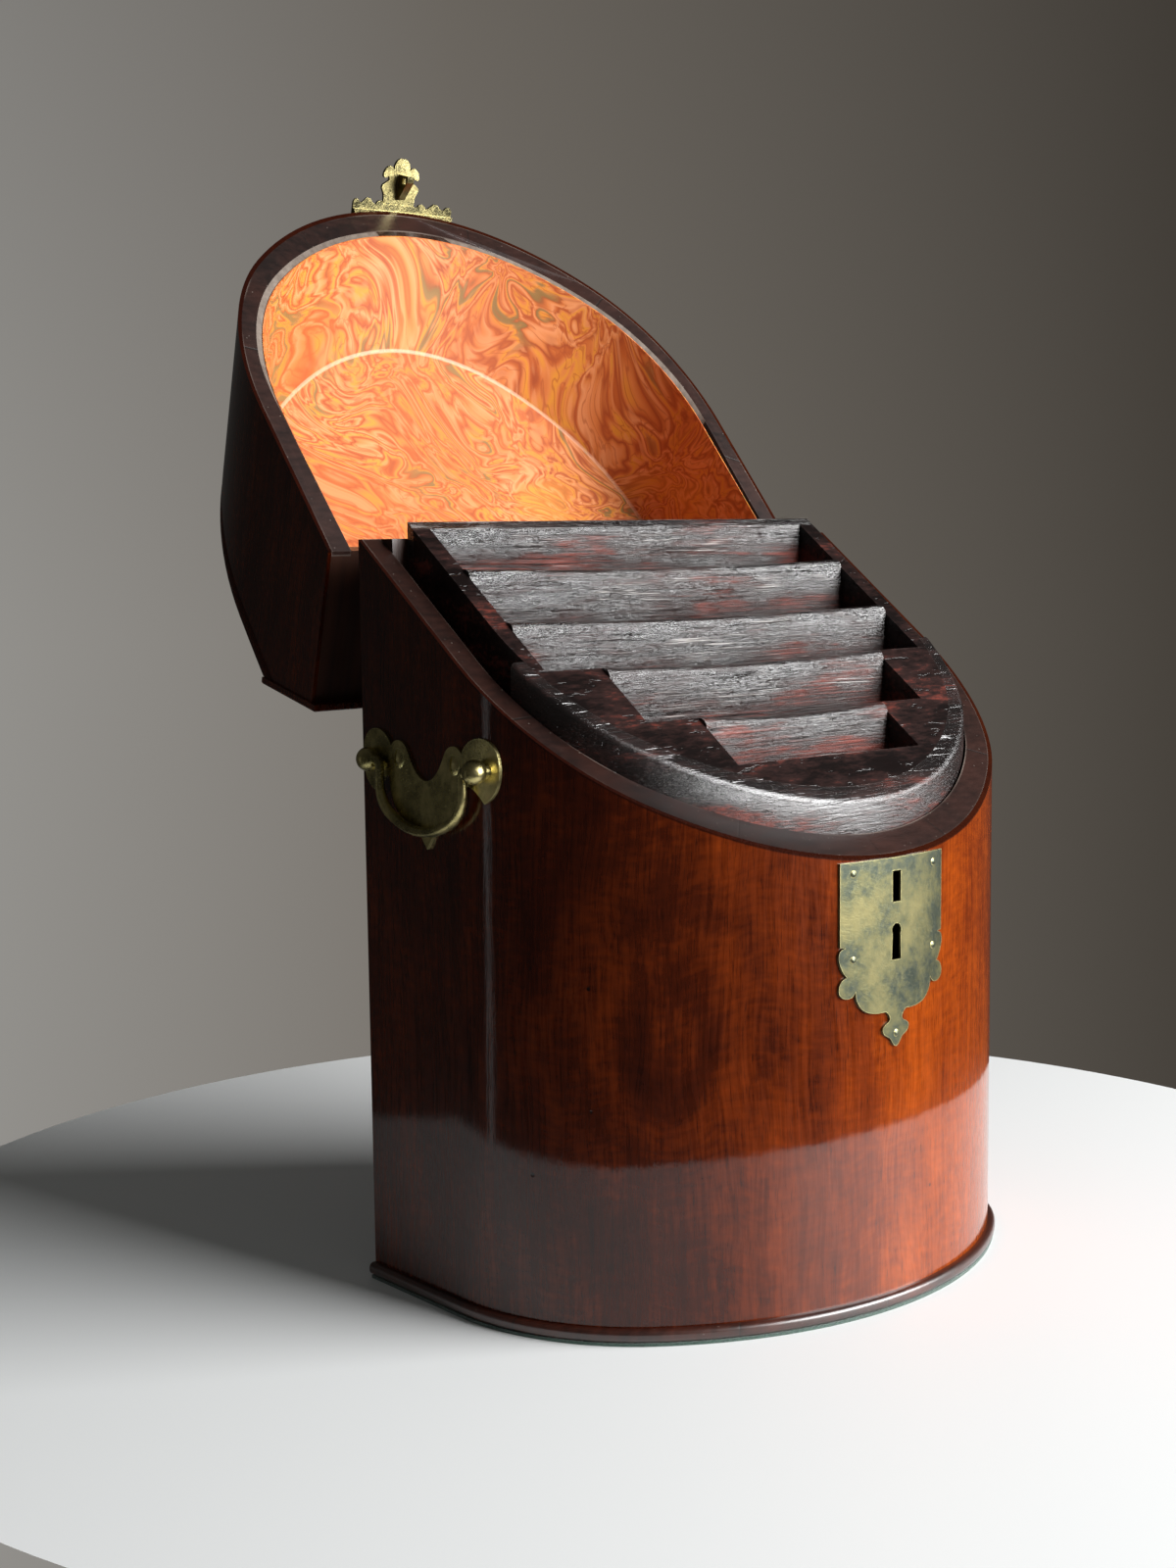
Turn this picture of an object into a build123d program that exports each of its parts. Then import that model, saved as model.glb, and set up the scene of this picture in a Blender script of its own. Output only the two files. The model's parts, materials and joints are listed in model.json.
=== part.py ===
from build123d import *
import math
import os

os.makedirs("parts", exist_ok=True)

# A bow-fronted mahogany knife box, fitted inside with a stepped rack, with its lid thrown back.
# Origin: centre of the underside. +X is right seen from the front, the bow faces -Y, +Z is up.

# Case (mm)
case_width = 250.0
case_depth = 156.5
bow_rise = 65.9
corner_radius = 84.5
back_height = 286.0
front_height = 169.3
wall = 10.5
back_board_thickness = 7.2
veneer = 1.6
banding = 1.6
baize = 1.2
baize_setback = 0.6
moulding_height = 4.8
moulding_overhang = 3.0
moulding_round = 2.0
bottom_thickness = 10.0

# Rack inside the case
rack_floor = 4.0
rack_inset = 17.5
rack_rise = 11.6
rack_back_thickness = 3.6
side_thickness = 7.9
front_wall_start = 74.6
front_wall_gap = 0.9
front_wall_round = 2.5
divider_thickness = 4.5
divider_dish = 1.8
divider_round = 3.4
divider_places = (31.0, 56.6, 79.5, 104.2)
front_block_place = 125.2
middle_slot_half = 73.3
front_slot_half = 48.4
packing_drop = 14.0

# Lid, drawn closed
lid_back_rise = 64.0
lid_front_rise = 56.5
lid_flat = 32.6
lid_dome = 4.3
lid_panel = 5.0
lid_panel_round = 4.0
lid_back_board = 6.0
top_board = 3.0
top_board_side_lip = 1.0
top_board_back_lip = 4.0
top_board_round = 1.2
lid_gap = 0.3
lining = 0.5
bare_strip = 1.2

# Hinges
lid_opening = 166.0
hinge_setback = 10.0
hinge_barrel_radius = 3.3
hinge_pin_radius = 1.2
hinge_length = 44.0
hinge_place = 66.0
hinge_leaf = 1.5
hinge_leaf_gap = 0.4
knuckle_gap = 0.3
pin_clearance = 0.05

# Brass plates, nails and screws
plate = 1.0
nail_head_radius = 1.4
nail_head = 0.5
nail_radius = 0.7
nail_length = 7.0
leaf_screw_head_radius = 1.9
leaf_screw_radius = 0.9
leaf_screw_length = 9.0
handle_screw_head_radius = 3.8
handle_screw_head = 1.3
handle_screw_radius = 1.7
handle_screw_length = 9.0
screw_slot = 0.9
screw_slot_depth = 0.4
handle_screw_slot_floor = 0.3

# Lock, set behind its plate
slot_width = 4.4
slot_top_drop = 4.9
keyhole_drop = 26.9
keyhole_radius = 2.5
keyhole_length = 10.9
keyhole_neck_half = 2.1
keyhole_foot_half = 2.5
lock_half_width = 18.0
lock_top_drop = 3.4
lock_height = 40.0
lock_depth = 8.4
lock_front_setback = 1.2
lock_sheet = 1.2
bolt_thickness = 2.0
bolt_height = 2.2
bolt_setback = 0.8
bolt_length = 9.0
bolt_talon = 9.0
bolt_travel = 5.5
bolt_clearance = 0.3
spring_wire = 0.6
spring_seat = 2.0
spring_bend = 12.0
spring_tip = 3.0
spring_clearance = 0.3

# Nails of the lock plate (across, down from the rim) and of the hasp plate (across, up)
lock_nail_places = ((-21.3, 4.2), (21.3, 4.2), (-21.3, 35.5), (21.3, 35.5), (0, 65.2))
hasp_nail_places = ((-21.5, 13.0), (21.5, 13.0), (-12.0, 24.5), (12.0, 24.5))

# Hasp and its plate on the lid
hasp_sheet = 1.4
hasp_axis_rise = 9.0
hasp_barrel_radius = 2.2
hasp_pin_radius = 0.9
hasp_knuckle_half = 4.0
hasp_plate_knuckle = 4.2
lip = 1.2
lip_rise = 6.0
lip_clearance = 0.3
staple_width = 3.6
staple_reach = 5.6
staple_tip = 3.0
staple_web = 1.0

# Side handles
handle_from_back = 41.7
handle_height = 206.0
handle_plate = 1.2
post_half = 33.0
post_drop = 1.9
post_ball_radius = 4.6
post_reach = 3.8
post_neck_radius = 3.0
post_tang_radius = 2.0
post_tang_length = 8.0
handle_screw_half = 17.2
handle_screw_drop = 0.7
bail_half = 25.7
bail_drop = 24.5
bail_corner = 13.0
bail_bow = 38.0
bail_shoulder = 2.4
bail_radius = 1.8
bail_pin_radius = 1.5
bail_pin_end = 31.0
bail_pin_clearance = 0.08

# Worked out from the sizes above
half_width = case_width / 2
half_depth = case_depth / 2
bow_radius = (half_width**2 + bow_rise**2) / (2 * bow_rise)
rim_slope = (back_height - front_height) / case_depth
rim_angle = math.atan(rim_slope)
rim_normal = (0, -math.sin(rim_angle), math.cos(rim_angle))
rim_plane = Plane(origin=(0, half_depth, back_height), x_dir=(1, 0, 0), z_dir=rim_normal)
banding_plane = rim_plane.offset(-banding)
rack_plane = Plane(
    origin=(0, half_depth, back_height + rack_rise), x_dir=(1, 0, 0), z_dir=rim_normal
)
lid_rim_plane = rim_plane.offset(lid_gap)
lid_banding_plane = lid_rim_plane.offset(banding)
lining_plane = lid_rim_plane.offset(bare_strip)
moulding_top = baize + moulding_height
floor_bottom = moulding_top + bottom_thickness
floor_top = floor_bottom + rack_floor
blank_top = back_height + rack_rise + wall
blank_width = 2 * case_width
inner_half = half_width - wall
rack_half = half_width - rack_inset
slot_half = rack_half - side_thickness
rack_back_face = half_depth - back_board_thickness - rack_back_thickness
front_wall_inset = wall + front_wall_gap
lid_top = back_height + lid_back_rise
lid_board_bottom = lid_top - top_board
hinge_y = half_depth + hinge_setback
hinge_z = back_height - hinge_barrel_radius
hinge_axis = Axis((0, hinge_y, hinge_z), (1, 0, 0))
front_y = -half_depth
bow_centre = bow_radius - half_depth
centre_gap = bow_radius - corner_radius
corner_x = half_width - corner_radius
corner_y = bow_centre - math.sqrt(centre_gap**2 - corner_x**2)
post_x = half_width + post_reach
handle_y = half_depth - handle_from_back
post_height = handle_height - post_drop
handle_screw_z = handle_height - handle_screw_drop
hasp_axis_y = front_y - plate - lip_clearance - hasp_barrel_radius
hasp_axis_z = front_height + hasp_axis_rise
hasp_face_y = front_y - plate - lip_clearance - lip - lip_clearance

# The staple's upper edge is raked along the path that it takes as the lid comes down,
# and the slot in the lock plate is as tall as the staple needs.
slot_y = front_y - plate
staple_rake = (hinge_y - slot_y) / (hinge_z - front_height + slot_top_drop)
staple_top = front_height - slot_top_drop - bolt_clearance
staple_bottom = staple_top - staple_rake * staple_reach - staple_tip
staple_end = slot_y + staple_reach
slot_bottom_drop = front_height - staple_bottom + bolt_clearance

# The lid's domed slope is one arc from the front of the flat top to the top of the front wall.
slope_top = Vector(half_depth - lid_flat, lid_top)
slope_foot = Vector(-half_depth, front_height + lid_front_rise)
slope_chord = slope_top - slope_foot
slope_radius = (slope_chord.length**2 / 4 + lid_dome**2) / (2 * lid_dome)
slope_out = Vector(-slope_chord.Y, slope_chord.X) * (1 / slope_chord.length)
slope_centre = (slope_top + slope_foot) * 0.5 - slope_out * (slope_radius - lid_dome)


def export_piece(piece, name):
    piece.label = name
    export_step(piece, f"parts/{name}.step")


def export_lid_piece(piece, name):
    # Lid pieces are drawn closed and swung back to the open rest position.
    export_piece(piece.rotate(hinge_axis, -lid_opening), name)


def rim_height(y):
    return front_height + rim_slope * (y + half_depth)


def inset_at(point):
    # How far a point of the plan lies inside the sides and bow.
    if (bow_centre - point.Y) * corner_x > abs(point.X) * (bow_centre - corner_y):
        return bow_radius - math.hypot(point.X, bow_centre - point.Y)
    if point.Y > corner_y:
        return half_width - abs(point.X)
    return corner_radius - math.hypot(abs(point.X) - corner_x, corner_y - point.Y)


def bow_plan(inset, back_inset=0.0):
    # D shape of the case seen from above, drawn in by an inset all round the sides and bow.
    side = half_width - inset
    back = half_depth - back_inset
    reach = (bow_radius - inset) / centre_gap
    meet = (corner_x * reach, bow_centre + (corner_y - bow_centre) * reach)
    with BuildSketch() as plan:
        with BuildLine():
            Line((-side, back), (side, back))
            Line((side, back), (side, corner_y))
            TangentArc((side, corner_y), meet, tangent=(0, -1))
            ThreePointArc(meet, (0, inset - half_depth), (-meet[0], meet[1]))
            TangentArc((-side, corner_y), (-meet[0], meet[1]), tangent=(0, -1))
            Line((-side, corner_y), (-side, back))
        make_face()
    return plan.sketch


def ring_plan(outer_inset, inner_inset):
    # Sides and bow only: the ring is open at the back between the side walls.
    with BuildSketch() as ring:
        add(bow_plan(outer_inset))
        add(bow_plan(inner_inset, -case_depth), mode=Mode.SUBTRACT)
    return ring.sketch


def plan_between(inset, x_from, x_to, back_from, back_to):
    # Piece of the D shape between two X values and two distances from the back.
    with BuildSketch() as piece:
        add(bow_plan(inset))
        with Locations(((x_from + x_to) / 2, half_depth - (back_from + back_to) / 2)):
            Rectangle(x_to - x_from, back_to - back_from, mode=Mode.INTERSECT)
    return piece.sketch


def lid_profile(drop, top):
    # Side view of the lid below its dome and flat top, long enough to cut from.
    with BuildSketch() as profile:
        with Locations((slope_centre.X, slope_centre.Y)):
            Circle(slope_radius - drop)
        with Locations((0, top / 2)):
            Rectangle(3 * case_depth, top, mode=Mode.INTERSECT)
    return profile.sketch


def screw_blank(head_radius, head_depth, shank_radius, length):
    # Countersunk screw without its slot, head upward with its flat at Z = 0.
    with BuildPart(mode=Mode.PRIVATE) as screw:
        with BuildSketch(Plane.XZ):
            with BuildLine():
                Polyline(
                    (0, 0),
                    (head_radius, 0),
                    (shank_radius, -head_depth),
                    (shank_radius, -length + shank_radius),
                    (0, -length),
                    close=True,
                )
            make_face()
        revolve(axis=Axis.Z)
    return screw.part


def dome_screw_blank(head_radius, head_height, shank_radius, length):
    # Low domed head standing on Z = 0, shank below it.
    dome_radius = (head_radius**2 + head_height**2) / (2 * head_height)
    with BuildPart(mode=Mode.PRIVATE) as screw:
        with Locations((0, 0, head_height - dome_radius)):
            Sphere(dome_radius)
        split(bisect_by=Plane.XY, keep=Keep.TOP)
        Cylinder(shank_radius, length, align=(Align.CENTER, Align.CENTER, Align.MAX))
    return screw.part


def slotted(blank, head_radius, slot_bottom, slot_top):
    with BuildPart(mode=Mode.PRIVATE) as screw:
        add(blank)
        with Locations((0, 0, (slot_bottom + slot_top) / 2)):
            Box(screw_slot, 3 * head_radius, slot_top - slot_bottom, mode=Mode.SUBTRACT)
    return screw.part


def surface_plane(x, z, out=0.0):
    # Plane on the bow at a given X, with its Z axis pointing straight out of the surface.
    turn = math.asin(x / bow_radius)
    radius = bow_radius + out
    origin = (radius * math.sin(turn), bow_centre - radius * math.cos(turn), z)
    return Plane(origin=origin, x_dir=(0, 0, 1), z_dir=(math.sin(turn), -math.cos(turn), 0))


def side_plane(side, y, z, out=0.0):
    # Plane on a side of the case, or on its rounded front corner, Z axis straight out.
    turn = math.asin(min(0.0, y - corner_y) / corner_radius)
    radius = corner_radius + out
    x = corner_x + radius * math.cos(turn)
    seat_y = y + out * math.sin(turn)
    normal = (side * math.cos(turn), math.sin(turn), 0)
    return Plane(origin=(side * x, seat_y, z), x_dir=(0, 0, 1), z_dir=normal)


# The base
with BuildPart() as baize_pad:
    with BuildSketch():
        add(bow_plan(baize_setback - moulding_overhang, baize_setback))
    extrude(amount=baize)
export_piece(baize_pad.part, "baize_pad")

with BuildPart() as base_moulding:
    with BuildSketch(Plane.XY.offset(baize)):
        add(bow_plan(-moulding_overhang))
    extrude(amount=moulding_height)
    flat_faces = base_moulding.faces().filter_by(Axis.Z)
    rim_edges = flat_faces.edges().filter_by(lambda e: e.center().Y < half_depth - 0.1)
    fillet(rim_edges, moulding_round)
export_piece(base_moulding.part, "base_moulding")

with BuildPart() as bottom_board:
    with BuildSketch(Plane.XY.offset(moulding_top)):
        add(bow_plan(wall, back_board_thickness))
    extrude(amount=bottom_thickness)
export_piece(bottom_board.part, "bottom_board")

# Nails, screws and lock openings shared by the pieces that they pass through
nail_blank = dome_screw_blank(nail_head_radius, nail_head, nail_radius, nail_length)
leaf_screw_blank = screw_blank(
    leaf_screw_head_radius, leaf_screw_head_radius - leaf_screw_radius, leaf_screw_radius, leaf_screw_length
)
handle_screw_blank = dome_screw_blank(
    handle_screw_head_radius, handle_screw_head, handle_screw_radius, handle_screw_length
)

lock_nail_planes = [
    surface_plane(x, front_height - drop, plate) for x, drop in lock_nail_places
]
hasp_nail_planes = [
    surface_plane(x, front_height + rise, plate) for x, rise in hasp_nail_places
]
screw_rows = [
    (side * hinge_place + step * hinge_length / 3, side)
    for side in (-1, 1)
    for step in (-1, 0, 1)
]
leaf_screw_y = half_depth - lid_back_board / 2
handle_screw_planes = {
    side: [
        side_plane(side, handle_y + end * handle_screw_half, handle_screw_z, handle_plate)
        for end in (-1, 1)
    ]
    for side in (-1, 1)
}
post_planes = {
    side: [
        Plane(
            origin=(side * half_width, handle_y + end * post_half, post_height),
            x_dir=(0, 1, 0),
            z_dir=(side, 0, 0),
        )
        for end in (-1, 1)
    ]
    for side in (-1, 1)
}

with BuildPart() as lock_nail_set:
    for seat in lock_nail_planes:
        with Locations(seat):
            add(nail_blank)
with BuildPart() as hasp_nail_set:
    for seat in hasp_nail_planes:
        with Locations(seat):
            add(nail_blank)
with BuildPart() as post_tang_set:
    for side in (-1, 1):
        for seat in post_planes[side]:
            with Locations(seat):
                Cylinder(post_tang_radius, 2 * post_tang_length)
with BuildPart() as handle_screw_set:
    for side in (-1, 1):
        for seat in handle_screw_planes[side]:
            with Locations(seat):
                add(handle_screw_blank)
with BuildPart() as lock_pocket:
    lock_centre_z = front_height - lock_top_drop - lock_height / 2
    with Locations((0, front_y + (lock_front_setback + lock_depth) / 2, lock_centre_z)):
        Box(2 * lock_half_width, lock_front_setback + lock_depth, lock_height)

# The carcass
with BuildPart() as case_wall:
    with BuildSketch(Plane.XY.offset(moulding_top)):
        add(ring_plan(veneer, wall))
    extrude(amount=blank_top - moulding_top)
    split(bisect_by=banding_plane, keep=Keep.BOTTOM)
    add(lock_pocket.part, mode=Mode.SUBTRACT)
    add(lock_nail_set.part, mode=Mode.SUBTRACT)
    add(post_tang_set.part, mode=Mode.SUBTRACT)
    add(handle_screw_set.part, mode=Mode.SUBTRACT)
export_piece(case_wall.part, "case_wall")

with BuildPart() as case_veneer:
    with BuildSketch(Plane.XY.offset(moulding_top)):
        add(ring_plan(0, veneer))
    extrude(amount=blank_top - moulding_top)
    split(bisect_by=rim_plane, keep=Keep.BOTTOM)
    add(lock_pocket.part, mode=Mode.SUBTRACT)
    add(lock_nail_set.part, mode=Mode.SUBTRACT)
    add(post_tang_set.part, mode=Mode.SUBTRACT)
    add(handle_screw_set.part, mode=Mode.SUBTRACT)
export_piece(case_veneer.part, "case_veneer")

with BuildPart() as case_rim_banding:
    with BuildSketch(Plane.XY.offset(moulding_top)):
        add(ring_plan(veneer, wall))
    extrude(amount=blank_top - moulding_top)
    split(bisect_by=rim_plane, keep=Keep.BOTTOM)
    split(bisect_by=banding_plane, keep=Keep.TOP)
export_piece(case_rim_banding.part, "case_rim_banding")

with BuildPart() as case_back_board:
    with Locations((0, half_depth, moulding_top)):
        Box(
            2 * inner_half,
            back_board_thickness,
            back_height - moulding_top,
            align=(Align.CENTER, Align.MAX, Align.MIN),
        )
    for side in (-1, 1):
        with Locations((side * hinge_place, half_depth, back_height)):
            Box(
                hinge_length,
                lid_back_board,
                hinge_leaf,
                align=(Align.CENTER, Align.MAX, Align.MAX),
                mode=Mode.SUBTRACT,
            )
    for x, side in screw_rows:
        with Locations((x, leaf_screw_y, back_height)):
            add(leaf_screw_blank, mode=Mode.SUBTRACT)
export_piece(case_back_board.part, "case_back_board")

# The rack
with BuildPart() as rack_floor_board:
    with BuildSketch(Plane.XY.offset(floor_bottom)):
        add(bow_plan(wall, back_board_thickness))
    extrude(amount=rack_floor)
export_piece(rack_floor_board.part, "rack_floor")

with BuildPart() as rack_back:
    with BuildSketch(Plane.XY.offset(floor_top)):
        with Locations((0, (half_depth - back_board_thickness + rack_back_face) / 2)):
            Rectangle(2 * rack_half, rack_back_thickness)
    extrude(amount=blank_top - floor_top)
    split(bisect_by=rack_plane, keep=Keep.BOTTOM)
export_piece(rack_back.part, "rack_back")

for side, side_name in ((-1, "left"), (1, "right")):
    with BuildPart() as rack_side:
        with BuildSketch(Plane.XY.offset(floor_top)):
            add(
                plan_between(
                    rack_inset,
                    slot_half,
                    half_width,
                    half_depth - rack_back_face,
                    divider_places[2],
                )
            )
            if side < 0:
                mirror(about=Plane.YZ, mode=Mode.REPLACE)
        extrude(amount=blank_top - floor_top)
        split(bisect_by=rack_plane, keep=Keep.BOTTOM)
    export_piece(rack_side.part, f"rack_side_{side_name}")

    with BuildPart() as packing:
        with BuildSketch(Plane.XY.offset(floor_top)):
            add(plan_between(wall, slot_half, half_width, back_board_thickness, front_wall_start))
            add(bow_plan(rack_inset, back_board_thickness), mode=Mode.SUBTRACT)
            if side < 0:
                mirror(about=Plane.YZ, mode=Mode.REPLACE)
        extrude(amount=blank_top - floor_top)
        split(bisect_by=rim_plane.offset(-packing_drop), keep=Keep.BOTTOM)
    export_piece(packing.part, f"packing_{side_name}")

    for row, inner, start, end in (
        ("rear", middle_slot_half, divider_places[2], divider_places[3]),
        ("front", front_slot_half, divider_places[3], front_block_place),
    ):
        with BuildPart() as corner_block:
            with BuildSketch(Plane.XY.offset(floor_top)):
                add(plan_between(rack_inset, inner, half_width, start, end))
                if side < 0:
                    mirror(about=Plane.YZ, mode=Mode.REPLACE)
            extrude(amount=blank_top - floor_top)
            split(bisect_by=rack_plane, keep=Keep.BOTTOM)
        export_piece(corner_block.part, f"corner_block_{row}_{side_name}")

with BuildPart() as front_block:
    with BuildSketch(Plane.XY.offset(floor_top)):
        add(plan_between(rack_inset, -half_width, half_width, front_block_place, case_depth))
    extrude(amount=blank_top - floor_top)
    split(bisect_by=rack_plane, keep=Keep.BOTTOM)
export_piece(front_block.part, "front_block")

with BuildPart() as front_wall:
    with BuildSketch(Plane.XY.offset(floor_top)):
        add(plan_between(front_wall_inset, -half_width, half_width, front_wall_start, case_depth))
        add(bow_plan(rack_inset), mode=Mode.SUBTRACT)
    extrude(amount=blank_top - floor_top)
    split(bisect_by=rack_plane, keep=Keep.BOTTOM)
    outer_top_edges = [
        edge
        for edge in front_wall.edges()
        if abs(rack_plane.to_local_coords(edge @ 0.5).Z) < 0.01
        and inset_at(edge @ 0.5) < front_wall_inset + 0.1
    ]
    fillet(outer_top_edges, front_wall_round)
export_piece(front_wall.part, "front_wall")

# Dividers stand between the rack sides, then between the corner blocks, with dished tops.
divider_spans = (slot_half, slot_half, middle_slot_half, front_slot_half)
for number, (place, span) in enumerate(zip(divider_places, divider_spans), start=1):
    back_face = half_depth - place
    crest = rim_height(back_face) + rack_rise
    with BuildPart() as divider:
        with BuildSketch(Plane.XZ.offset(-back_face)):
            with BuildLine():
                Polyline((-span, crest), (-span, floor_top), (span, floor_top), (span, crest))
                ThreePointArc((-span, crest), (0, crest - divider_dish), (span, crest))
            make_face()
        extrude(amount=divider_thickness)
        crest_edge = divider.edges().filter_by(GeomType.CIRCLE).sort_by(Axis.Y)[0]
        fillet(crest_edge, divider_round)
    export_piece(divider.part, f"divider_{number}")

# The lock
def lock_plate_outline():
    # Right half of the plate, X from its middle and Y down from the rim, then mirrored.
    with BuildSketch() as outline:
        with BuildLine():
            Polyline((0, 0), (27.2, 0), (27.2, -30.3), (24.3, -30.8))
            Spline((24.3, -30.8), (27.4, -32.2), (27.3, -36.4), (24.0, -41.7))
            Spline((24.0, -41.7), (27.2, -43.8), (27.3, -47.6), (24.6, -49.4), (20.0, -46.5))
            Spline((20.0, -46.5), (19.4, -51.2), (16.4, -54.7), (11.0, -56.5), (6.8, -56.7))
            Spline((6.8, -56.7), (4.0, -57.8), (3.4, -60.0), (5.6, -61.4), (7.0, -63.5))
            Spline((7.0, -63.5), (5.4, -65.6), (3.2, -66.9), (2.0, -68.6), (0, -70.1))
            Line((0, -70.1), (0, 0))
        make_face()
        mirror(about=Plane.YZ)
    return outline.sketch


def keyhole_outline():
    with BuildSketch() as outline:
        Circle(keyhole_radius)
        with BuildLine():
            Polyline(
                (-keyhole_neck_half, 0),
                (-keyhole_foot_half, -keyhole_length),
                (keyhole_foot_half, -keyhole_length),
                (keyhole_neck_half, 0),
                close=True,
            )
        make_face()
    return outline.sketch


front_plane = Plane(origin=(0, 0, front_height), x_dir=(1, 0, 0), z_dir=(0, -1, 0))
keyhole_plane = Plane(
    origin=(0, 0, front_height - keyhole_drop), x_dir=(1, 0, 0), z_dir=(0, -1, 0)
)
slot_height = slot_bottom_drop - slot_top_drop
slot_centre_drop = (slot_bottom_drop + slot_top_drop) / 2

with BuildPart() as lock_plate:
    with BuildSketch():
        add(bow_plan(-plate))
        add(bow_plan(0), mode=Mode.SUBTRACT)
    extrude(amount=front_height)
    with BuildSketch(front_plane):
        add(lock_plate_outline())
    extrude(amount=case_depth, mode=Mode.INTERSECT)
    with BuildSketch(front_plane):
        with Locations((0, -slot_centre_drop)):
            Rectangle(slot_width, slot_height)
    extrude(amount=case_depth, mode=Mode.SUBTRACT)
    with BuildSketch(keyhole_plane):
        add(keyhole_outline())
    extrude(amount=case_depth, mode=Mode.SUBTRACT)
    add(lock_nail_set.part, mode=Mode.SUBTRACT)
export_piece(lock_plate.part, "lock_plate")
export_piece(lock_nail_set.part, "lock_plate_nails")

lock_bottom = front_height - lock_top_drop - lock_height
with BuildPart() as lock_case:
    with Locations((0, front_y + lock_front_setback, lock_bottom)):
        Box(
            2 * lock_half_width,
            lock_depth,
            lock_height,
            align=(Align.CENTER, Align.MIN, Align.MIN),
        )
        with Locations((0, 0, lock_sheet)):
            Box(
                2 * (lock_half_width - lock_sheet),
                lock_depth - lock_sheet,
                lock_height - 2 * lock_sheet,
                align=(Align.CENTER, Align.MIN, Align.MIN),
                mode=Mode.SUBTRACT,
            )
export_piece(lock_case.part, "lock_case")

# The bolt's tongue passes through the staple just behind the plate; its body hangs to the key.
bolt_y = front_y + bolt_setback
bolt_centre_z = staple_bottom + staple_web + bolt_clearance + bolt_height / 2
bolt_tip_x = -staple_width / 2 - 2 * bolt_clearance
with BuildPart() as lock_bolt:
    with Locations((bolt_tip_x, bolt_y, bolt_centre_z)):
        Box(
            bolt_length,
            bolt_thickness,
            bolt_height,
            align=(Align.MAX, Align.MIN, Align.CENTER),
        )
    with Locations((bolt_tip_x - bolt_length, bolt_y, bolt_centre_z)):
        Box(
            bolt_length - bolt_travel,
            bolt_thickness,
            bolt_talon,
            align=(Align.MIN, Align.MIN, Align.MAX),
        )
export_piece(lock_bolt.part, "lock_bolt")

spring_top = lock_bottom + lock_height - lock_sheet - spring_clearance
spring_foot = bolt_centre_z + bolt_height / 2 + bolt_clearance + spring_clearance
with BuildPart() as lock_spring:
    with BuildSketch(Plane.XZ.offset(-(bolt_y + bolt_thickness))):
        with BuildLine():
            Polyline(
                (bolt_tip_x - spring_seat, spring_top),
                (bolt_tip_x - spring_bend, spring_top),
                (bolt_tip_x - spring_tip, spring_foot),
            )
        trace(line_width=spring_wire)
    extrude(amount=bolt_thickness)
export_piece(lock_spring.part, "lock_spring")

# The side handles
def handle_plate_outline():
    # Right half from the plate's middle, measured from the line through the two posts.
    with BuildSketch() as outline:
        with BuildLine():
            Line((0, -33.1), (0, -8.0))
            Spline((0, -8.0), (4.9, -6.2), (8.4, -2.6), (10.8, 1.2), (13.2, 4.6), (16.8, 6.0), (21.7, 3.4))
            Spline(
                (21.7, 3.4),
                (24.8, 7.4),
                (30.0, 9.6),
                (35.0, 8.8),
                (38.6, 5.2),
                (39.9, -0.5),
                (39.3, -6.2),
                (36.6, -11.0),
                (33.0, -13.6),
            )
            Spline((33.0, -13.6), (29.7, -10.2), (26.4, -8.2), (23.0, -7.6))
            Spline((23.0, -7.6), (22.2, -13.5), (18.5, -20.5), (10.5, -25.6), (3.6, -28.4))
            Line((3.6, -28.4), (0, -33.1))
        make_face()
        mirror(about=Plane.YZ)
    return outline.sketch


# The handle screws were left with their slots upright.
handle_screw = slotted(
    handle_screw_blank, handle_screw_head_radius, handle_screw_slot_floor, handle_screw_head
).rotate(Axis.Z, 90)

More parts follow.
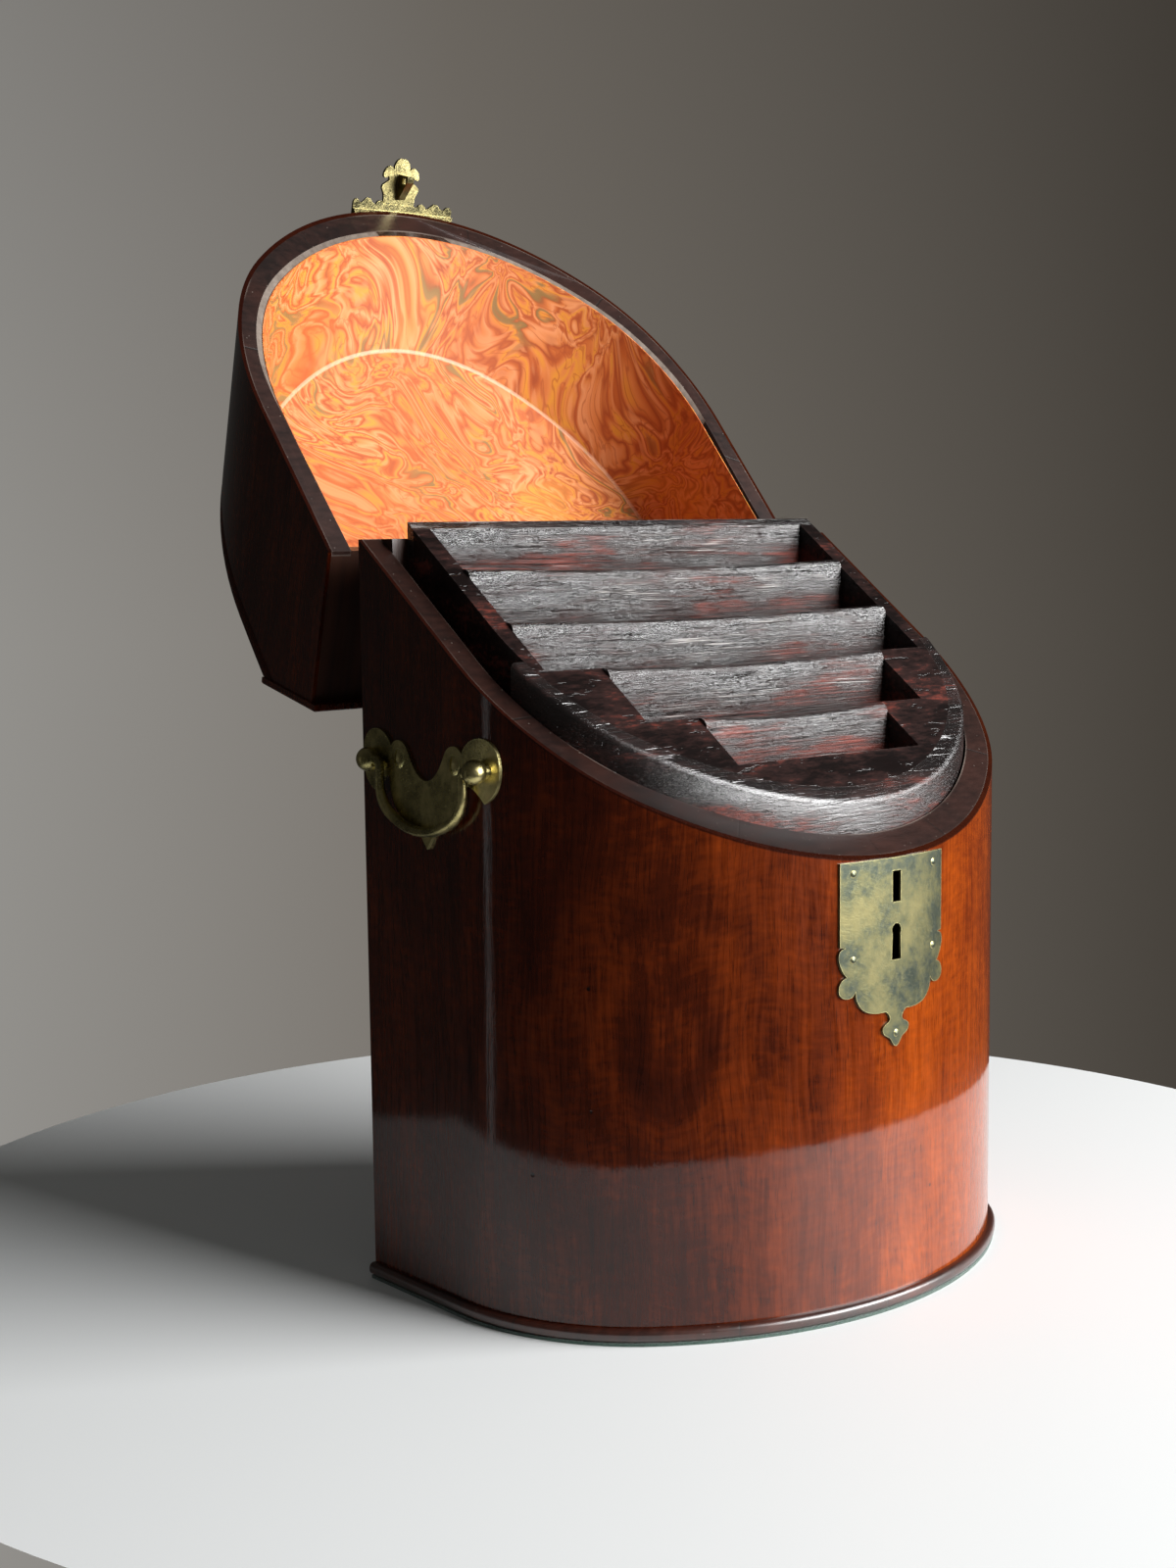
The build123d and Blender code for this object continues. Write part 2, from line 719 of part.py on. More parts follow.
# The bail's outline: pin, shoulder, straight arm, corner and shallow bow, in the hanging plane.
bail_gap = bail_bow - bail_corner
bail_corner_x = bail_half - bail_corner
bail_corner_z = bail_bow - bail_drop - math.sqrt(bail_gap**2 - bail_corner_x**2)
bail_meet = (
    bail_corner_x * bail_bow / bail_gap,
    bail_bow - bail_drop + (bail_corner_z - bail_bow + bail_drop) * bail_bow / bail_gap,
)
for side, side_name in ((-1, "left"), (1, "right")):
    side_sketch = Plane(origin=(0, handle_y, handle_height), x_dir=(0, 1, 0), z_dir=(1, 0, 0))
    with BuildPart() as handle_plate_piece:
        with BuildSketch(Plane.XY.offset(handle_height - case_depth / 2)):
            add(bow_plan(-handle_plate, 0))
            add(bow_plan(0), mode=Mode.SUBTRACT)
        extrude(amount=case_depth)
        with BuildSketch(side_sketch):
            add(handle_plate_outline())
        extrude(amount=side * case_width, mode=Mode.INTERSECT)
        add(handle_screw_set.part, mode=Mode.SUBTRACT)
        add(post_tang_set.part, mode=Mode.SUBTRACT)
    export_piece(handle_plate_piece.part, f"handle_plate_{side_name}")

    with BuildPart() as handle_posts:
        for seat in post_planes[side]:
            with Locations(seat.offset(post_reach)):
                Sphere(post_ball_radius)
                Cylinder(
                    post_neck_radius,
                    2 * post_reach,
                    align=(Align.CENTER, Align.CENTER, Align.MAX),
                )
        with BuildSketch(Plane.XY.offset(post_height - post_half)):
            add(bow_plan(-handle_plate))
        extrude(amount=2 * post_half, mode=Mode.SUBTRACT)
        for seat in post_planes[side]:
            with Locations(seat.offset(post_reach)):
                Cylinder(
                    post_tang_radius,
                    post_reach + post_tang_length,
                    align=(Align.CENTER, Align.CENTER, Align.MAX),
                )
        with Locations(Plane(origin=(side * post_x, handle_y, post_height), z_dir=(0, 1, 0))):
            Cylinder(bail_pin_radius + bail_pin_clearance, 2 * bail_pin_end, mode=Mode.SUBTRACT)
    export_piece(handle_posts.part, f"handle_posts_{side_name}")

    with BuildPart() as handle_screws:
        for seat in handle_screw_planes[side]:
            with Locations(seat):
                add(handle_screw)
    export_piece(handle_screws.part, f"handle_screws_{side_name}")

    # The bail hangs in the plane of the posts, with its pins turned out into the balls.
    bail_plane = Plane(
        origin=(side * post_x, handle_y, post_height), x_dir=(0, 1, 0), z_dir=(1, 0, 0)
    )
    shoulder_x = bail_half + bail_shoulder
    bail_turn = math.degrees(math.atan2(bail_meet[0], bail_bow - bail_drop - bail_meet[1]))
    with BuildPart() as bail:
        with BuildLine(bail_plane):
            CenterArc((0, bail_bow - bail_drop), bail_bow, -90, bail_turn)
            CenterArc((bail_corner_x, bail_corner_z), bail_corner, bail_turn - 90, 90 - bail_turn)
            Line((bail_half, bail_corner_z), (bail_half, -bail_shoulder))
            CenterArc((shoulder_x, -bail_shoulder), bail_shoulder, 180, -90)
        bail_foot = bail_plane.from_local_coords((0, -bail_drop, 0))
        with BuildSketch(Plane(origin=bail_foot, z_dir=(0, 1, 0))):
            Circle(bail_radius)
        sweep()
        pin_start = bail_plane.from_local_coords((shoulder_x, 0, 0))
        with Locations(Plane(origin=pin_start, z_dir=(0, 1, 0))):
            Cylinder(
                bail_pin_radius,
                bail_pin_end - shoulder_x,
                align=(Align.CENTER, Align.CENTER, Align.MIN),
            )
        mirror(about=Plane(origin=(0, handle_y, 0), z_dir=(0, 1, 0)))
    export_piece(bail.part, f"bail_{side_name}")

# The lid, drawn closed
with BuildPart() as lid_wall:
    with BuildSketch(Plane.XY.offset(front_height)):
        add(ring_plan(veneer, wall))
    extrude(amount=lid_board_bottom - front_height)
    split(bisect_by=lid_banding_plane, keep=Keep.TOP)
    with BuildSketch(Plane.YZ.offset(-case_width)):
        add(lid_profile(lid_panel, lid_board_bottom))
    extrude(amount=blank_width, mode=Mode.INTERSECT)
    add(hasp_nail_set.part, mode=Mode.SUBTRACT)
export_lid_piece(lid_wall.part, "lid_wall")

with BuildPart() as lid_veneer:
    with BuildSketch(Plane.XY.offset(front_height)):
        add(ring_plan(0, veneer))
    extrude(amount=lid_board_bottom - front_height)
    split(bisect_by=lid_rim_plane, keep=Keep.TOP)
    with BuildSketch(Plane.YZ.offset(-case_width)):
        add(lid_profile(lid_panel, lid_board_bottom))
    extrude(amount=blank_width, mode=Mode.INTERSECT)
    add(hasp_nail_set.part, mode=Mode.SUBTRACT)
export_lid_piece(lid_veneer.part, "lid_veneer")

with BuildPart() as lid_rim_banding:
    with BuildSketch(Plane.XY.offset(front_height)):
        add(ring_plan(veneer, wall))
    extrude(amount=blank_top - front_height)
    split(bisect_by=lid_rim_plane, keep=Keep.TOP)
    split(bisect_by=lid_banding_plane, keep=Keep.BOTTOM)
export_lid_piece(lid_rim_banding.part, "lid_rim_banding")

lid_back_bottom = back_height + hinge_leaf_gap
with BuildPart() as lid_back:
    with Locations((0, half_depth, lid_back_bottom)):
        Box(
            2 * inner_half,
            lid_back_board,
            lid_board_bottom - lid_back_bottom,
            align=(Align.CENTER, Align.MAX, Align.MIN),
        )
    for side in (-1, 1):
        with Locations((side * hinge_place, half_depth, lid_back_bottom)):
            Box(
                hinge_length,
                lid_back_board,
                hinge_leaf,
                align=(Align.CENTER, Align.MAX, Align.MIN),
                mode=Mode.SUBTRACT,
            )
    for x, side in screw_rows:
        with Locations(Plane(origin=(x, leaf_screw_y, lid_back_bottom), z_dir=(0, 0, -1))):
            add(leaf_screw_blank, mode=Mode.SUBTRACT)
export_lid_piece(lid_back.part, "lid_back_board")

with BuildPart() as lid_slope_panel:
    with BuildSketch(Plane.XY.offset(front_height)):
        add(bow_plan(0))
    extrude(amount=lid_board_bottom - front_height)
    with BuildSketch(Plane.YZ.offset(-case_width)):
        add(lid_profile(0, lid_board_bottom))
        add(lid_profile(lid_panel, 2 * lid_board_bottom), mode=Mode.SUBTRACT)
    extrude(amount=blank_width, mode=Mode.INTERSECT)
    dome_faces = lid_slope_panel.faces().filter_by(GeomType.CYLINDER).sort_by(lambda f: f.area)
    dome_face = dome_faces[-1]
    round_edges = [edge for edge in dome_face.edges() if (edge @ 0.5).Z < lid_board_bottom - 0.1]
    fillet(round_edges, lid_panel_round)
export_lid_piece(lid_slope_panel.part, "lid_slope_panel")

top_board_front = slope_top.X - top_board
with BuildPart() as lid_top_board:
    with Locations((0, half_depth + top_board_back_lip, lid_board_bottom)):
        Box(
            case_width + 2 * top_board_side_lip,
            half_depth + top_board_back_lip - top_board_front,
            top_board,
            align=(Align.CENTER, Align.MAX, Align.MIN),
        )
    fillet(lid_top_board.edges().group_by(Axis.Z)[-1], top_board_round)
export_lid_piece(lid_top_board.part, "lid_top_board")

with BuildPart() as lid_hollow:
    with BuildSketch(Plane.XY.offset(front_height)):
        add(bow_plan(wall + lining, lid_back_board + lining))
    extrude(amount=lid_board_bottom - front_height)
    with BuildSketch(Plane.YZ.offset(-case_width)):
        add(lid_profile(lid_panel + lining, lid_board_bottom - lining))
    extrude(amount=blank_width, mode=Mode.INTERSECT)

with BuildPart() as lid_lining:
    with BuildSketch(Plane.XY.offset(front_height)):
        add(bow_plan(wall, lid_back_board))
    extrude(amount=lid_board_bottom - front_height)
    with BuildSketch(Plane.YZ.offset(-case_width)):
        add(lid_profile(lid_panel, lid_board_bottom))
    extrude(amount=blank_width, mode=Mode.INTERSECT)
    add(lid_hollow.part, mode=Mode.SUBTRACT)
    split(bisect_by=lining_plane, keep=Keep.TOP)
    # It stops above the case's back board, which is thicker than the lid's.
    with Locations((0, half_depth, lid_back_bottom)):
        Box(
            2 * inner_half,
            back_board_thickness + lid_gap,
            lid_back_bottom - front_height,
            align=(Align.CENTER, Align.MAX, Align.MAX),
            mode=Mode.SUBTRACT,
        )
export_lid_piece(lid_lining.part, "lid_lining")

# The hinges have five knuckles: the outer and middle ones belong to the case,
# the other two to the lid.
knuckle = (hinge_length - 4 * knuckle_gap) / 5
knuckle_pitch = knuckle + knuckle_gap
case_knuckles = (-2, 0, 2)
lid_knuckles = (-1, 1)


def hinge_leaf_piece(leaf_bottom, leaf_inner, own_knuckles, other_knuckles):
    with BuildPart(mode=Mode.PRIVATE) as leaf:
        for side in (-1, 1):
            with Locations((side * hinge_place, leaf_inner, leaf_bottom)):
                Box(
                    hinge_length,
                    hinge_y - leaf_inner,
                    hinge_leaf,
                    align=(Align.CENTER, Align.MIN, Align.MIN),
                )
            for number in own_knuckles:
                centre_x = side * hinge_place + number * knuckle_pitch
                with Locations(Plane(origin=(centre_x, hinge_y, hinge_z), z_dir=(1, 0, 0))):
                    Cylinder(hinge_barrel_radius, knuckle)
                with Locations((centre_x, hinge_y, hinge_z)):
                    Box(
                        knuckle,
                        hinge_barrel_radius,
                        leaf_bottom + hinge_leaf - hinge_z,
                        align=(Align.CENTER, Align.MAX, Align.MIN),
                    )
            for number in other_knuckles:
                centre_x = side * hinge_place + number * knuckle_pitch
                with Locations(Plane(origin=(centre_x, hinge_y, hinge_z), z_dir=(1, 0, 0))):
                    Cylinder(
                        hinge_barrel_radius + hinge_leaf + 2 * hinge_leaf_gap,
                        knuckle + 2 * knuckle_gap,
                        mode=Mode.SUBTRACT,
                    )
            with Locations(Plane(origin=(side * hinge_place, hinge_y, hinge_z), z_dir=(1, 0, 0))):
                Cylinder(hinge_pin_radius + pin_clearance, 2 * hinge_length, mode=Mode.SUBTRACT)
    return leaf.part


with BuildPart() as case_hinge_leaves:
    leaf_front = half_depth - lid_back_board
    add(hinge_leaf_piece(back_height - hinge_leaf, leaf_front, case_knuckles, lid_knuckles))
    for x, side in screw_rows:
        with Locations((x, leaf_screw_y, back_height)):
            add(leaf_screw_blank, mode=Mode.SUBTRACT)
export_piece(case_hinge_leaves.part, "case_hinge_leaves")

with BuildPart() as lid_hinge_leaves:
    add(hinge_leaf_piece(lid_back_bottom, half_depth - lid_back_board, lid_knuckles, case_knuckles))
    for x, side in screw_rows:
        with Locations(Plane(origin=(x, leaf_screw_y, lid_back_bottom), z_dir=(0, 0, -1))):
            add(leaf_screw_blank, mode=Mode.SUBTRACT)
export_lid_piece(lid_hinge_leaves.part, "lid_hinge_leaves")

with BuildPart() as hinge_pins:
    for side in (-1, 1):
        with Locations(Plane(origin=(side * hinge_place, hinge_y, hinge_z), z_dir=(1, 0, 0))):
            Cylinder(hinge_pin_radius, hinge_length)
export_piece(hinge_pins.part, "hinge_pins")

leaf_screw = slotted(leaf_screw_blank, leaf_screw_head_radius, -screw_slot_depth, 0)
with BuildPart() as case_hinge_screws:
    for x, side in screw_rows:
        with Locations((x, leaf_screw_y, back_height)):
            add(leaf_screw)
export_piece(case_hinge_screws.part, "case_hinge_screws")

with BuildPart() as lid_hinge_screws:
    for x, side in screw_rows:
        with Locations(Plane(origin=(x, leaf_screw_y, lid_back_bottom), z_dir=(0, 0, -1))):
            add(leaf_screw)
export_lid_piece(lid_hinge_screws.part, "lid_hinge_screws")


# The hasp
def hasp_plate_outline():
    # Right half of the plate on the lid, Y up from the rim; its foot is the scalloped lip.
    with BuildSketch() as outline:
        with BuildLine():
            Line((0, lid_gap), (0, 31.0))
            Spline((0, 31.0), (3.6, 28.0), (8.0, 27.2), (12.4, 28.6), (15.6, 25.6), (15.8, 21.0))
            Spline((15.8, 21.0), (19.4, 20.2), (22.8, 17.6), (26.0, 14.8), (27.0, 9.0), (27.0, lid_gap))
            Line((27.0, lid_gap), (0, lid_gap))
        make_face()
        mirror(about=Plane.YZ)
    return outline.sketch


def lip_outline():
    with BuildSketch() as outline:
        with BuildLine():
            Line((0, -2.6), (0, lip_rise))
            Polyline((0, lip_rise), (27.0, lip_rise), (27.0, -2.4))
            Spline((27.0, -2.4), (25.2, -4.0), (23.4, -2.6))
            Spline((23.4, -2.6), (21.2, -3.0), (18.6, -4.8), (15.6, -2.9), (13.4, -2.2))
            Spline((13.4, -2.2), (12.2, -3.8), (10.6, -3.9), (9.6, -2.6))
            Line((9.6, -2.6), (0, -2.6))
        make_face()
        mirror(about=Plane.YZ)
    return outline.sketch


def hasp_outline():
    # Right half of the hasp, Y up from the rim to its hinge line.
    with BuildSketch() as outline:
        with BuildLine():
            Polyline((0, -23.0), (0, hasp_axis_rise), (hasp_knuckle_half, hasp_axis_rise))
            Line((hasp_knuckle_half, hasp_axis_rise), (hasp_knuckle_half, 6.2))
            Spline((hasp_knuckle_half, 6.2), (7.2, 4.4), (8.6, 0), (8.4, -4.4), (9.5, -8.5))
            Spline((9.5, -8.5), (8.8, -11.6), (6.5, -13.4), (6.9, -14.9))
            Spline((6.9, -14.9), (9.6, -14.6), (9.2, -17.2), (4.2, -18.0))
            Spline((4.2, -18.0), (3.9, -20.4), (2.6, -22.3), (0, -23.0))
        make_face()
        mirror(about=Plane.YZ)
    return outline.sketch


with BuildPart() as hasp_lip:
    with BuildSketch(Plane.XY.offset(front_height - lip_rise)):
        add(bow_plan(-plate - lip_clearance - lip))
        add(bow_plan(-plate - lip_clearance), mode=Mode.SUBTRACT)
    extrude(amount=lip_rise + lid_gap)
    with BuildSketch(Plane.XY.offset(front_height + lid_gap)):
        add(bow_plan(-plate - lip_clearance - lip))
        add(bow_plan(-plate), mode=Mode.SUBTRACT)
    extrude(amount=lip_rise)
    with BuildSketch(front_plane):
        add(lip_outline())
    extrude(amount=case_depth, mode=Mode.INTERSECT)

with BuildPart() as hasp_plate:
    with BuildSketch(Plane.XY.offset(front_height)):
        add(bow_plan(-plate))
        add(bow_plan(0), mode=Mode.SUBTRACT)
    extrude(amount=lid_front_rise)
    with BuildSketch(front_plane):
        add(hasp_plate_outline())
    extrude(amount=case_depth, mode=Mode.INTERSECT)
    add(hasp_lip.part)
    for end in (-1, 1):
        knuckle_start = end * (hasp_knuckle_half + knuckle_gap)
        knuckle_plane = Plane(
            origin=(knuckle_start, hasp_axis_y, hasp_axis_z), z_dir=(end, 0, 0)
        )
        with Locations(knuckle_plane):
            Cylinder(
                hasp_barrel_radius,
                hasp_plate_knuckle,
                align=(Align.CENTER, Align.CENTER, Align.MIN),
            )
        with Locations((knuckle_start + end * hasp_plate_knuckle / 2, hasp_axis_y, hasp_axis_z)):
            Box(
                hasp_plate_knuckle,
                front_y - plate / 2 - hasp_axis_y,
                2 * hasp_pin_radius,
                align=(Align.CENTER, Align.MIN, Align.CENTER),
            )
    with Locations(Plane(origin=(0, hasp_axis_y, hasp_axis_z), z_dir=(1, 0, 0))):
        Cylinder(hasp_pin_radius, case_width, mode=Mode.SUBTRACT)
    add(hasp_nail_set.part, mode=Mode.SUBTRACT)
export_lid_piece(hasp_plate.part, "hasp_plate")
export_lid_piece(hasp_nail_set.part, "hasp_plate_nails")

with BuildPart() as hasp_pin:
    with Locations(Plane(origin=(0, hasp_axis_y, hasp_axis_z), z_dir=(1, 0, 0))):
        Cylinder(hasp_pin_radius, 2 * (hasp_knuckle_half + knuckle_gap + hasp_plate_knuckle))
export_lid_piece(hasp_pin.part, "hasp_pin")

hasp_plane = Plane(origin=(0, hasp_face_y, front_height), x_dir=(1, 0, 0), z_dir=(0, -1, 0))
with BuildPart() as hasp:
    with BuildSketch(hasp_plane):
        add(hasp_outline())
    extrude(amount=hasp_sheet)
    with Locations(Plane(origin=(0, hasp_axis_y, hasp_axis_z), z_dir=(1, 0, 0))):
        Cylinder(hasp_barrel_radius, 2 * hasp_knuckle_half)
        Cylinder(hasp_pin_radius + pin_clearance, case_width, mode=Mode.SUBTRACT)
    with BuildSketch(Plane.YZ):
        with BuildLine():
            Polyline(
                (hasp_face_y, staple_top),
                (slot_y, staple_top),
                (staple_end, staple_top - staple_rake * staple_reach),
                (staple_end, staple_bottom),
                (hasp_face_y, staple_bottom),
                close=True,
            )
        make_face()
        with Locations((bolt_y + bolt_thickness / 2, bolt_centre_z)):
            Rectangle(
                bolt_thickness + 2 * bolt_clearance,
                bolt_height + 2 * bolt_clearance,
                mode=Mode.SUBTRACT,
            )
    extrude(amount=staple_width / 2, both=True)
export_lid_piece(hasp.part, "hasp")
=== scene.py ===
import bmesh
import bpy
import json
import math
from mathutils import Euler, Matrix, Vector


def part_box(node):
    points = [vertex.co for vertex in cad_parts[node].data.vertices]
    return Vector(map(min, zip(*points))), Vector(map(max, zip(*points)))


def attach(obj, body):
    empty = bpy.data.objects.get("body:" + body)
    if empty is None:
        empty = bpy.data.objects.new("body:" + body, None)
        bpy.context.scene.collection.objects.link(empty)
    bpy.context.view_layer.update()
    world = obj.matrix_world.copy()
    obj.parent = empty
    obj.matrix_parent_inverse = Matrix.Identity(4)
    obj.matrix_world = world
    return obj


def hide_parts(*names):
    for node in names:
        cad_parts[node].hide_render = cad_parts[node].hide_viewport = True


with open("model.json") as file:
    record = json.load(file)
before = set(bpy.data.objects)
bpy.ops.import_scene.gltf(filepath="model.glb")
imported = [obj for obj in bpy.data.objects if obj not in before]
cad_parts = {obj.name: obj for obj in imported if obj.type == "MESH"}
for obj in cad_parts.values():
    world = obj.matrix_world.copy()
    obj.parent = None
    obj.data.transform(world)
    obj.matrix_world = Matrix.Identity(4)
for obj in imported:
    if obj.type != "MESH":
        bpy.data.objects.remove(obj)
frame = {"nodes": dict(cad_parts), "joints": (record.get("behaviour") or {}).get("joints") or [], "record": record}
nodes = frame["nodes"]
bodyOf = {
    piece: body
    for body, members in frame["record"]["behaviour"]["bodies"].items()
    for piece in members
}
lidHinge = next(joint for joint in frame["joints"] if joint["name"] == "lid_hinge")
lidPivot = lidHinge["pos_m"]
lidTurn = math.radians(max(lidHinge["range_deg"]))
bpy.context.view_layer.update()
print("frame loaded:", len(nodes), "nodes")


# Small helpers for building the finishes out of nodes
def plug(tree, socket, value):
    if isinstance(value, bpy.types.NodeSocket):
        tree.links.new(value, socket)
    elif socket.type == "RGBA":
        socket.default_value = (*value[:3], 1.0)
    else:
        socket.default_value = value


def putNode(tree, kind, sockets=None, **settings):
    made = tree.nodes.new("ShaderNode" + kind)
    for name, value in settings.items():
        setattr(made, name, value)
    for name, value in (sockets or {}).items():
        plug(tree, made.inputs[name], value)
    return made


def sums(tree, operation, first, second=0.0, third=0.0):
    made = putNode(tree, "Math", operation=operation)
    for socket, value in zip(made.inputs, (first, second, third)):
        plug(tree, socket, value)
    return made.outputs[0]


def vectorSums(tree, operation, first, second):
    made = putNode(tree, "VectorMath", operation=operation)
    plug(tree, made.inputs[0], first)
    plug(tree, made.inputs[1], second)
    givesNumber = operation in ("LENGTH", "DOT_PRODUCT")
    return made.outputs["Value" if givesNumber else "Vector"]


def mixed(tree, share, first, second, mode="MIX"):
    made = putNode(tree, "Mix", data_type="RGBA", blend_type=mode)
    for index, value in ((0, share), (6, first), (7, second)):
        plug(tree, made.inputs[index], value)
    return made.outputs[2]


def ramp(tree, factor, stops, interpolation="LINEAR"):
    made = putNode(tree, "ValToRGB", {"Fac": factor})
    band = made.color_ramp
    band.interpolation = interpolation
    while len(band.elements) < len(stops):
        band.elements.new(0.5)
    for element, (place, colour) in zip(band.elements, stops):
        element.position = place
        element.color = (*colour, 1.0)
    return made.outputs["Color"]


# nearly all values of a noise lie between these two
noiseSpread = (0.3, 0.7)


def between(tree, value, low, high, start=0.0, end=1.0):
    made = putNode(tree, "MapRange", {
        "Value": value, "From Min": low, "From Max": high, "To Min": start, "To Max": end,
    })
    return made.outputs["Result"]


def noiseAt(tree, place, stretch, detail=3.0, roughness=0.55):
    # stretch gives how many features per metre along each axis
    spread = vectorSums(tree, "MULTIPLY", place, stretch)
    return putNode(tree, "TexNoise", {
        "Vector": spread, "Scale": 1.0, "Detail": detail, "Roughness": roughness,
    })


def noiseValue(tree, place, stretch, detail=3.0, roughness=0.55):
    return noiseAt(tree, place, stretch, detail, roughness).outputs["Fac"]


def scaled(tree, value, factor):
    return sums(tree, "MULTIPLY", value, factor)


def spun(tree, place, axis, angle, centre=(0, 0, 0)):
    return putNode(tree, "VectorRotate", {
        "Vector": place, "Center": centre, "Axis": axis, "Angle": angle,
    }, rotation_type="AXIS_ANGLE").outputs["Vector"]


def warped(tree, place, stretch, amount, detail=2.0):
    # moves each point about by a slow noise
    push = noiseAt(tree, place, stretch, detail).outputs["Color"]
    centred = vectorSums(tree, "SUBTRACT", push, (0.5, 0.5, 0.5))
    push = vectorSums(tree, "MULTIPLY", centred, (amount,) * 3)
    return vectorSums(tree, "ADD", place, push)


def edgeShare(tree, radius, low=0.0, high=0.25):
    # 0 on flats, 1 along worn edges
    rounded = putNode(tree, "Bevel", {"Radius": radius}, samples=6).outputs["Normal"]
    true = putNode(tree, "NewGeometry").outputs["Normal"]
    alike = vectorSums(tree, "DOT_PRODUCT", rounded, true)
    return between(tree, sums(tree, "SUBTRACT", 1.0, alike), low, high)


def bumped(tree, shader, height, strength, distance, under=None):
    made = putNode(tree, "Bump", {"Height": height, "Strength": strength, "Distance": distance})
    if under is not None:
        plug(tree, made.inputs["Normal"], under)
    plug(tree, shader.inputs["Normal"], made.outputs["Normal"])
    return made.outputs["Normal"]


def startFinish(name, values):
    finish = bpy.data.materials.new(name)
    finish.use_nodes = True
    tree = finish.node_tree
    shader = tree.nodes["Principled BSDF"]
    for socket, value in values.items():
        plug(tree, shader.inputs[socket], value)
    return finish, tree, shader


def objectPlace(tree, onLid=False):
    # position on the piece; lid pieces are turned back so that their grain runs as when closed
    place = putNode(tree, "TexCoord").outputs["Object"]
    if not onLid:
        return place
    return spun(tree, place, (1, 0, 0), lidTurn, lidPivot)


def specks(tree, place, perMetre, size, share):
    # scattered dots: dust, pits and flecks
    spread = vectorSums(tree, "MULTIPLY", place, (perMetre,) * 3)
    cells = putNode(tree, "TexVoronoi", {"Vector": spread, "Scale": 1.0, "Randomness": 1.0})
    near = between(tree, cells.outputs["Distance"], size, size * 0.5)
    lot = putNode(tree, "SeparateColor", {"Color": cells.outputs["Color"]}).outputs[0]
    picked = sums(tree, "GREATER_THAN", lot, 1.0 - share)
    return sums(tree, "MULTIPLY", near, picked)


# French-polished figured mahogany on the bow, sides and lid
# Each grain below gives its features per metre along the axes, then its detail and roughness
veneerLook = {
    "deep": (0.012, 0.0019, 0.0008),
    "dark": (0.040, 0.0054, 0.0010),
    "mid": (0.122, 0.0175, 0.0016),
    "flame": (0.285, 0.048, 0.0022),
    "nick": (0.0040, 0.0020, 0.0015),
    "colourSteps": (0.38, 0.53, 0.69, 0.88),
    "shine": 0.08,
    "roughness": (0.22, 0.36),
    "coat": 0.9,
    "coatRoughness": 0.035,
    "waves": ((20, 20, 7), 0.020),
    "cloudGrain": ((11, 11, 10), 2.0),
    "flameGrain": ((90, 90, 22), 4.0, 0.6),
    "streakGrain": ((620, 620, 17), 4.0, 0.66),
    "curlGrain": ((150, 150, 420), 2.0, 0.5),
    "poreGrain": ((2400, 2400, 130), 2.0, 0.5),
    "rippleGrain": ((60, 60, 22), 2.0),
    "pitGrain": ((1500, 1500, 300), 3.0, 0.6),
    "cloudShare": 0.34,
    "flameShare": 0.26,
    "streakShare": 0.26,
    "curlShare": 0.17,
    "streakReach": (0.35, 0.7),
    "poreReach": (0.59, 0.69),
    "poreShare": 0.6,
    "nicks": (85, 0.08, 0.14),
    "nickDepth": 0.6,
    # painted shade: the veneer's tone is darkest toward the left side and lightest toward the right, where the
    # light falls
    "shadedSideX": -0.092,
    "litSideX": 0.010,
    "paintedSideShade": (0.105, 0.335),
    "reliefStreak": 0.30,
    "reliefPit": 0.13,
    "relief": (0.085, 0.0012),
}
# The swirl where a branch grew: rings round a dark eye, fading outward
swirlLook = {
    "eye": (-0.0845, -0.0525, 0.111),
    "eyeSize": (0.024, 0.024, 0.031),
    "ringRate": 7.0,
    "fadeBase": 2.718,
    "fadeRate": -0.30,
    "ringLift": 0.042,
    "eyeReach": (0.25, 1.3, 1.0, 0.0),
    "eyeDark": 0.05,
}
# The line of the sloping rim, along which the veneer is darkened to its deepest colour
rimLine = {
    "front": -0.07825,
    "height": 0.1695,
    "rise": 0.7457,
    "darkLine": (0.0005, 0.0011, 0.9, 0.0),
}


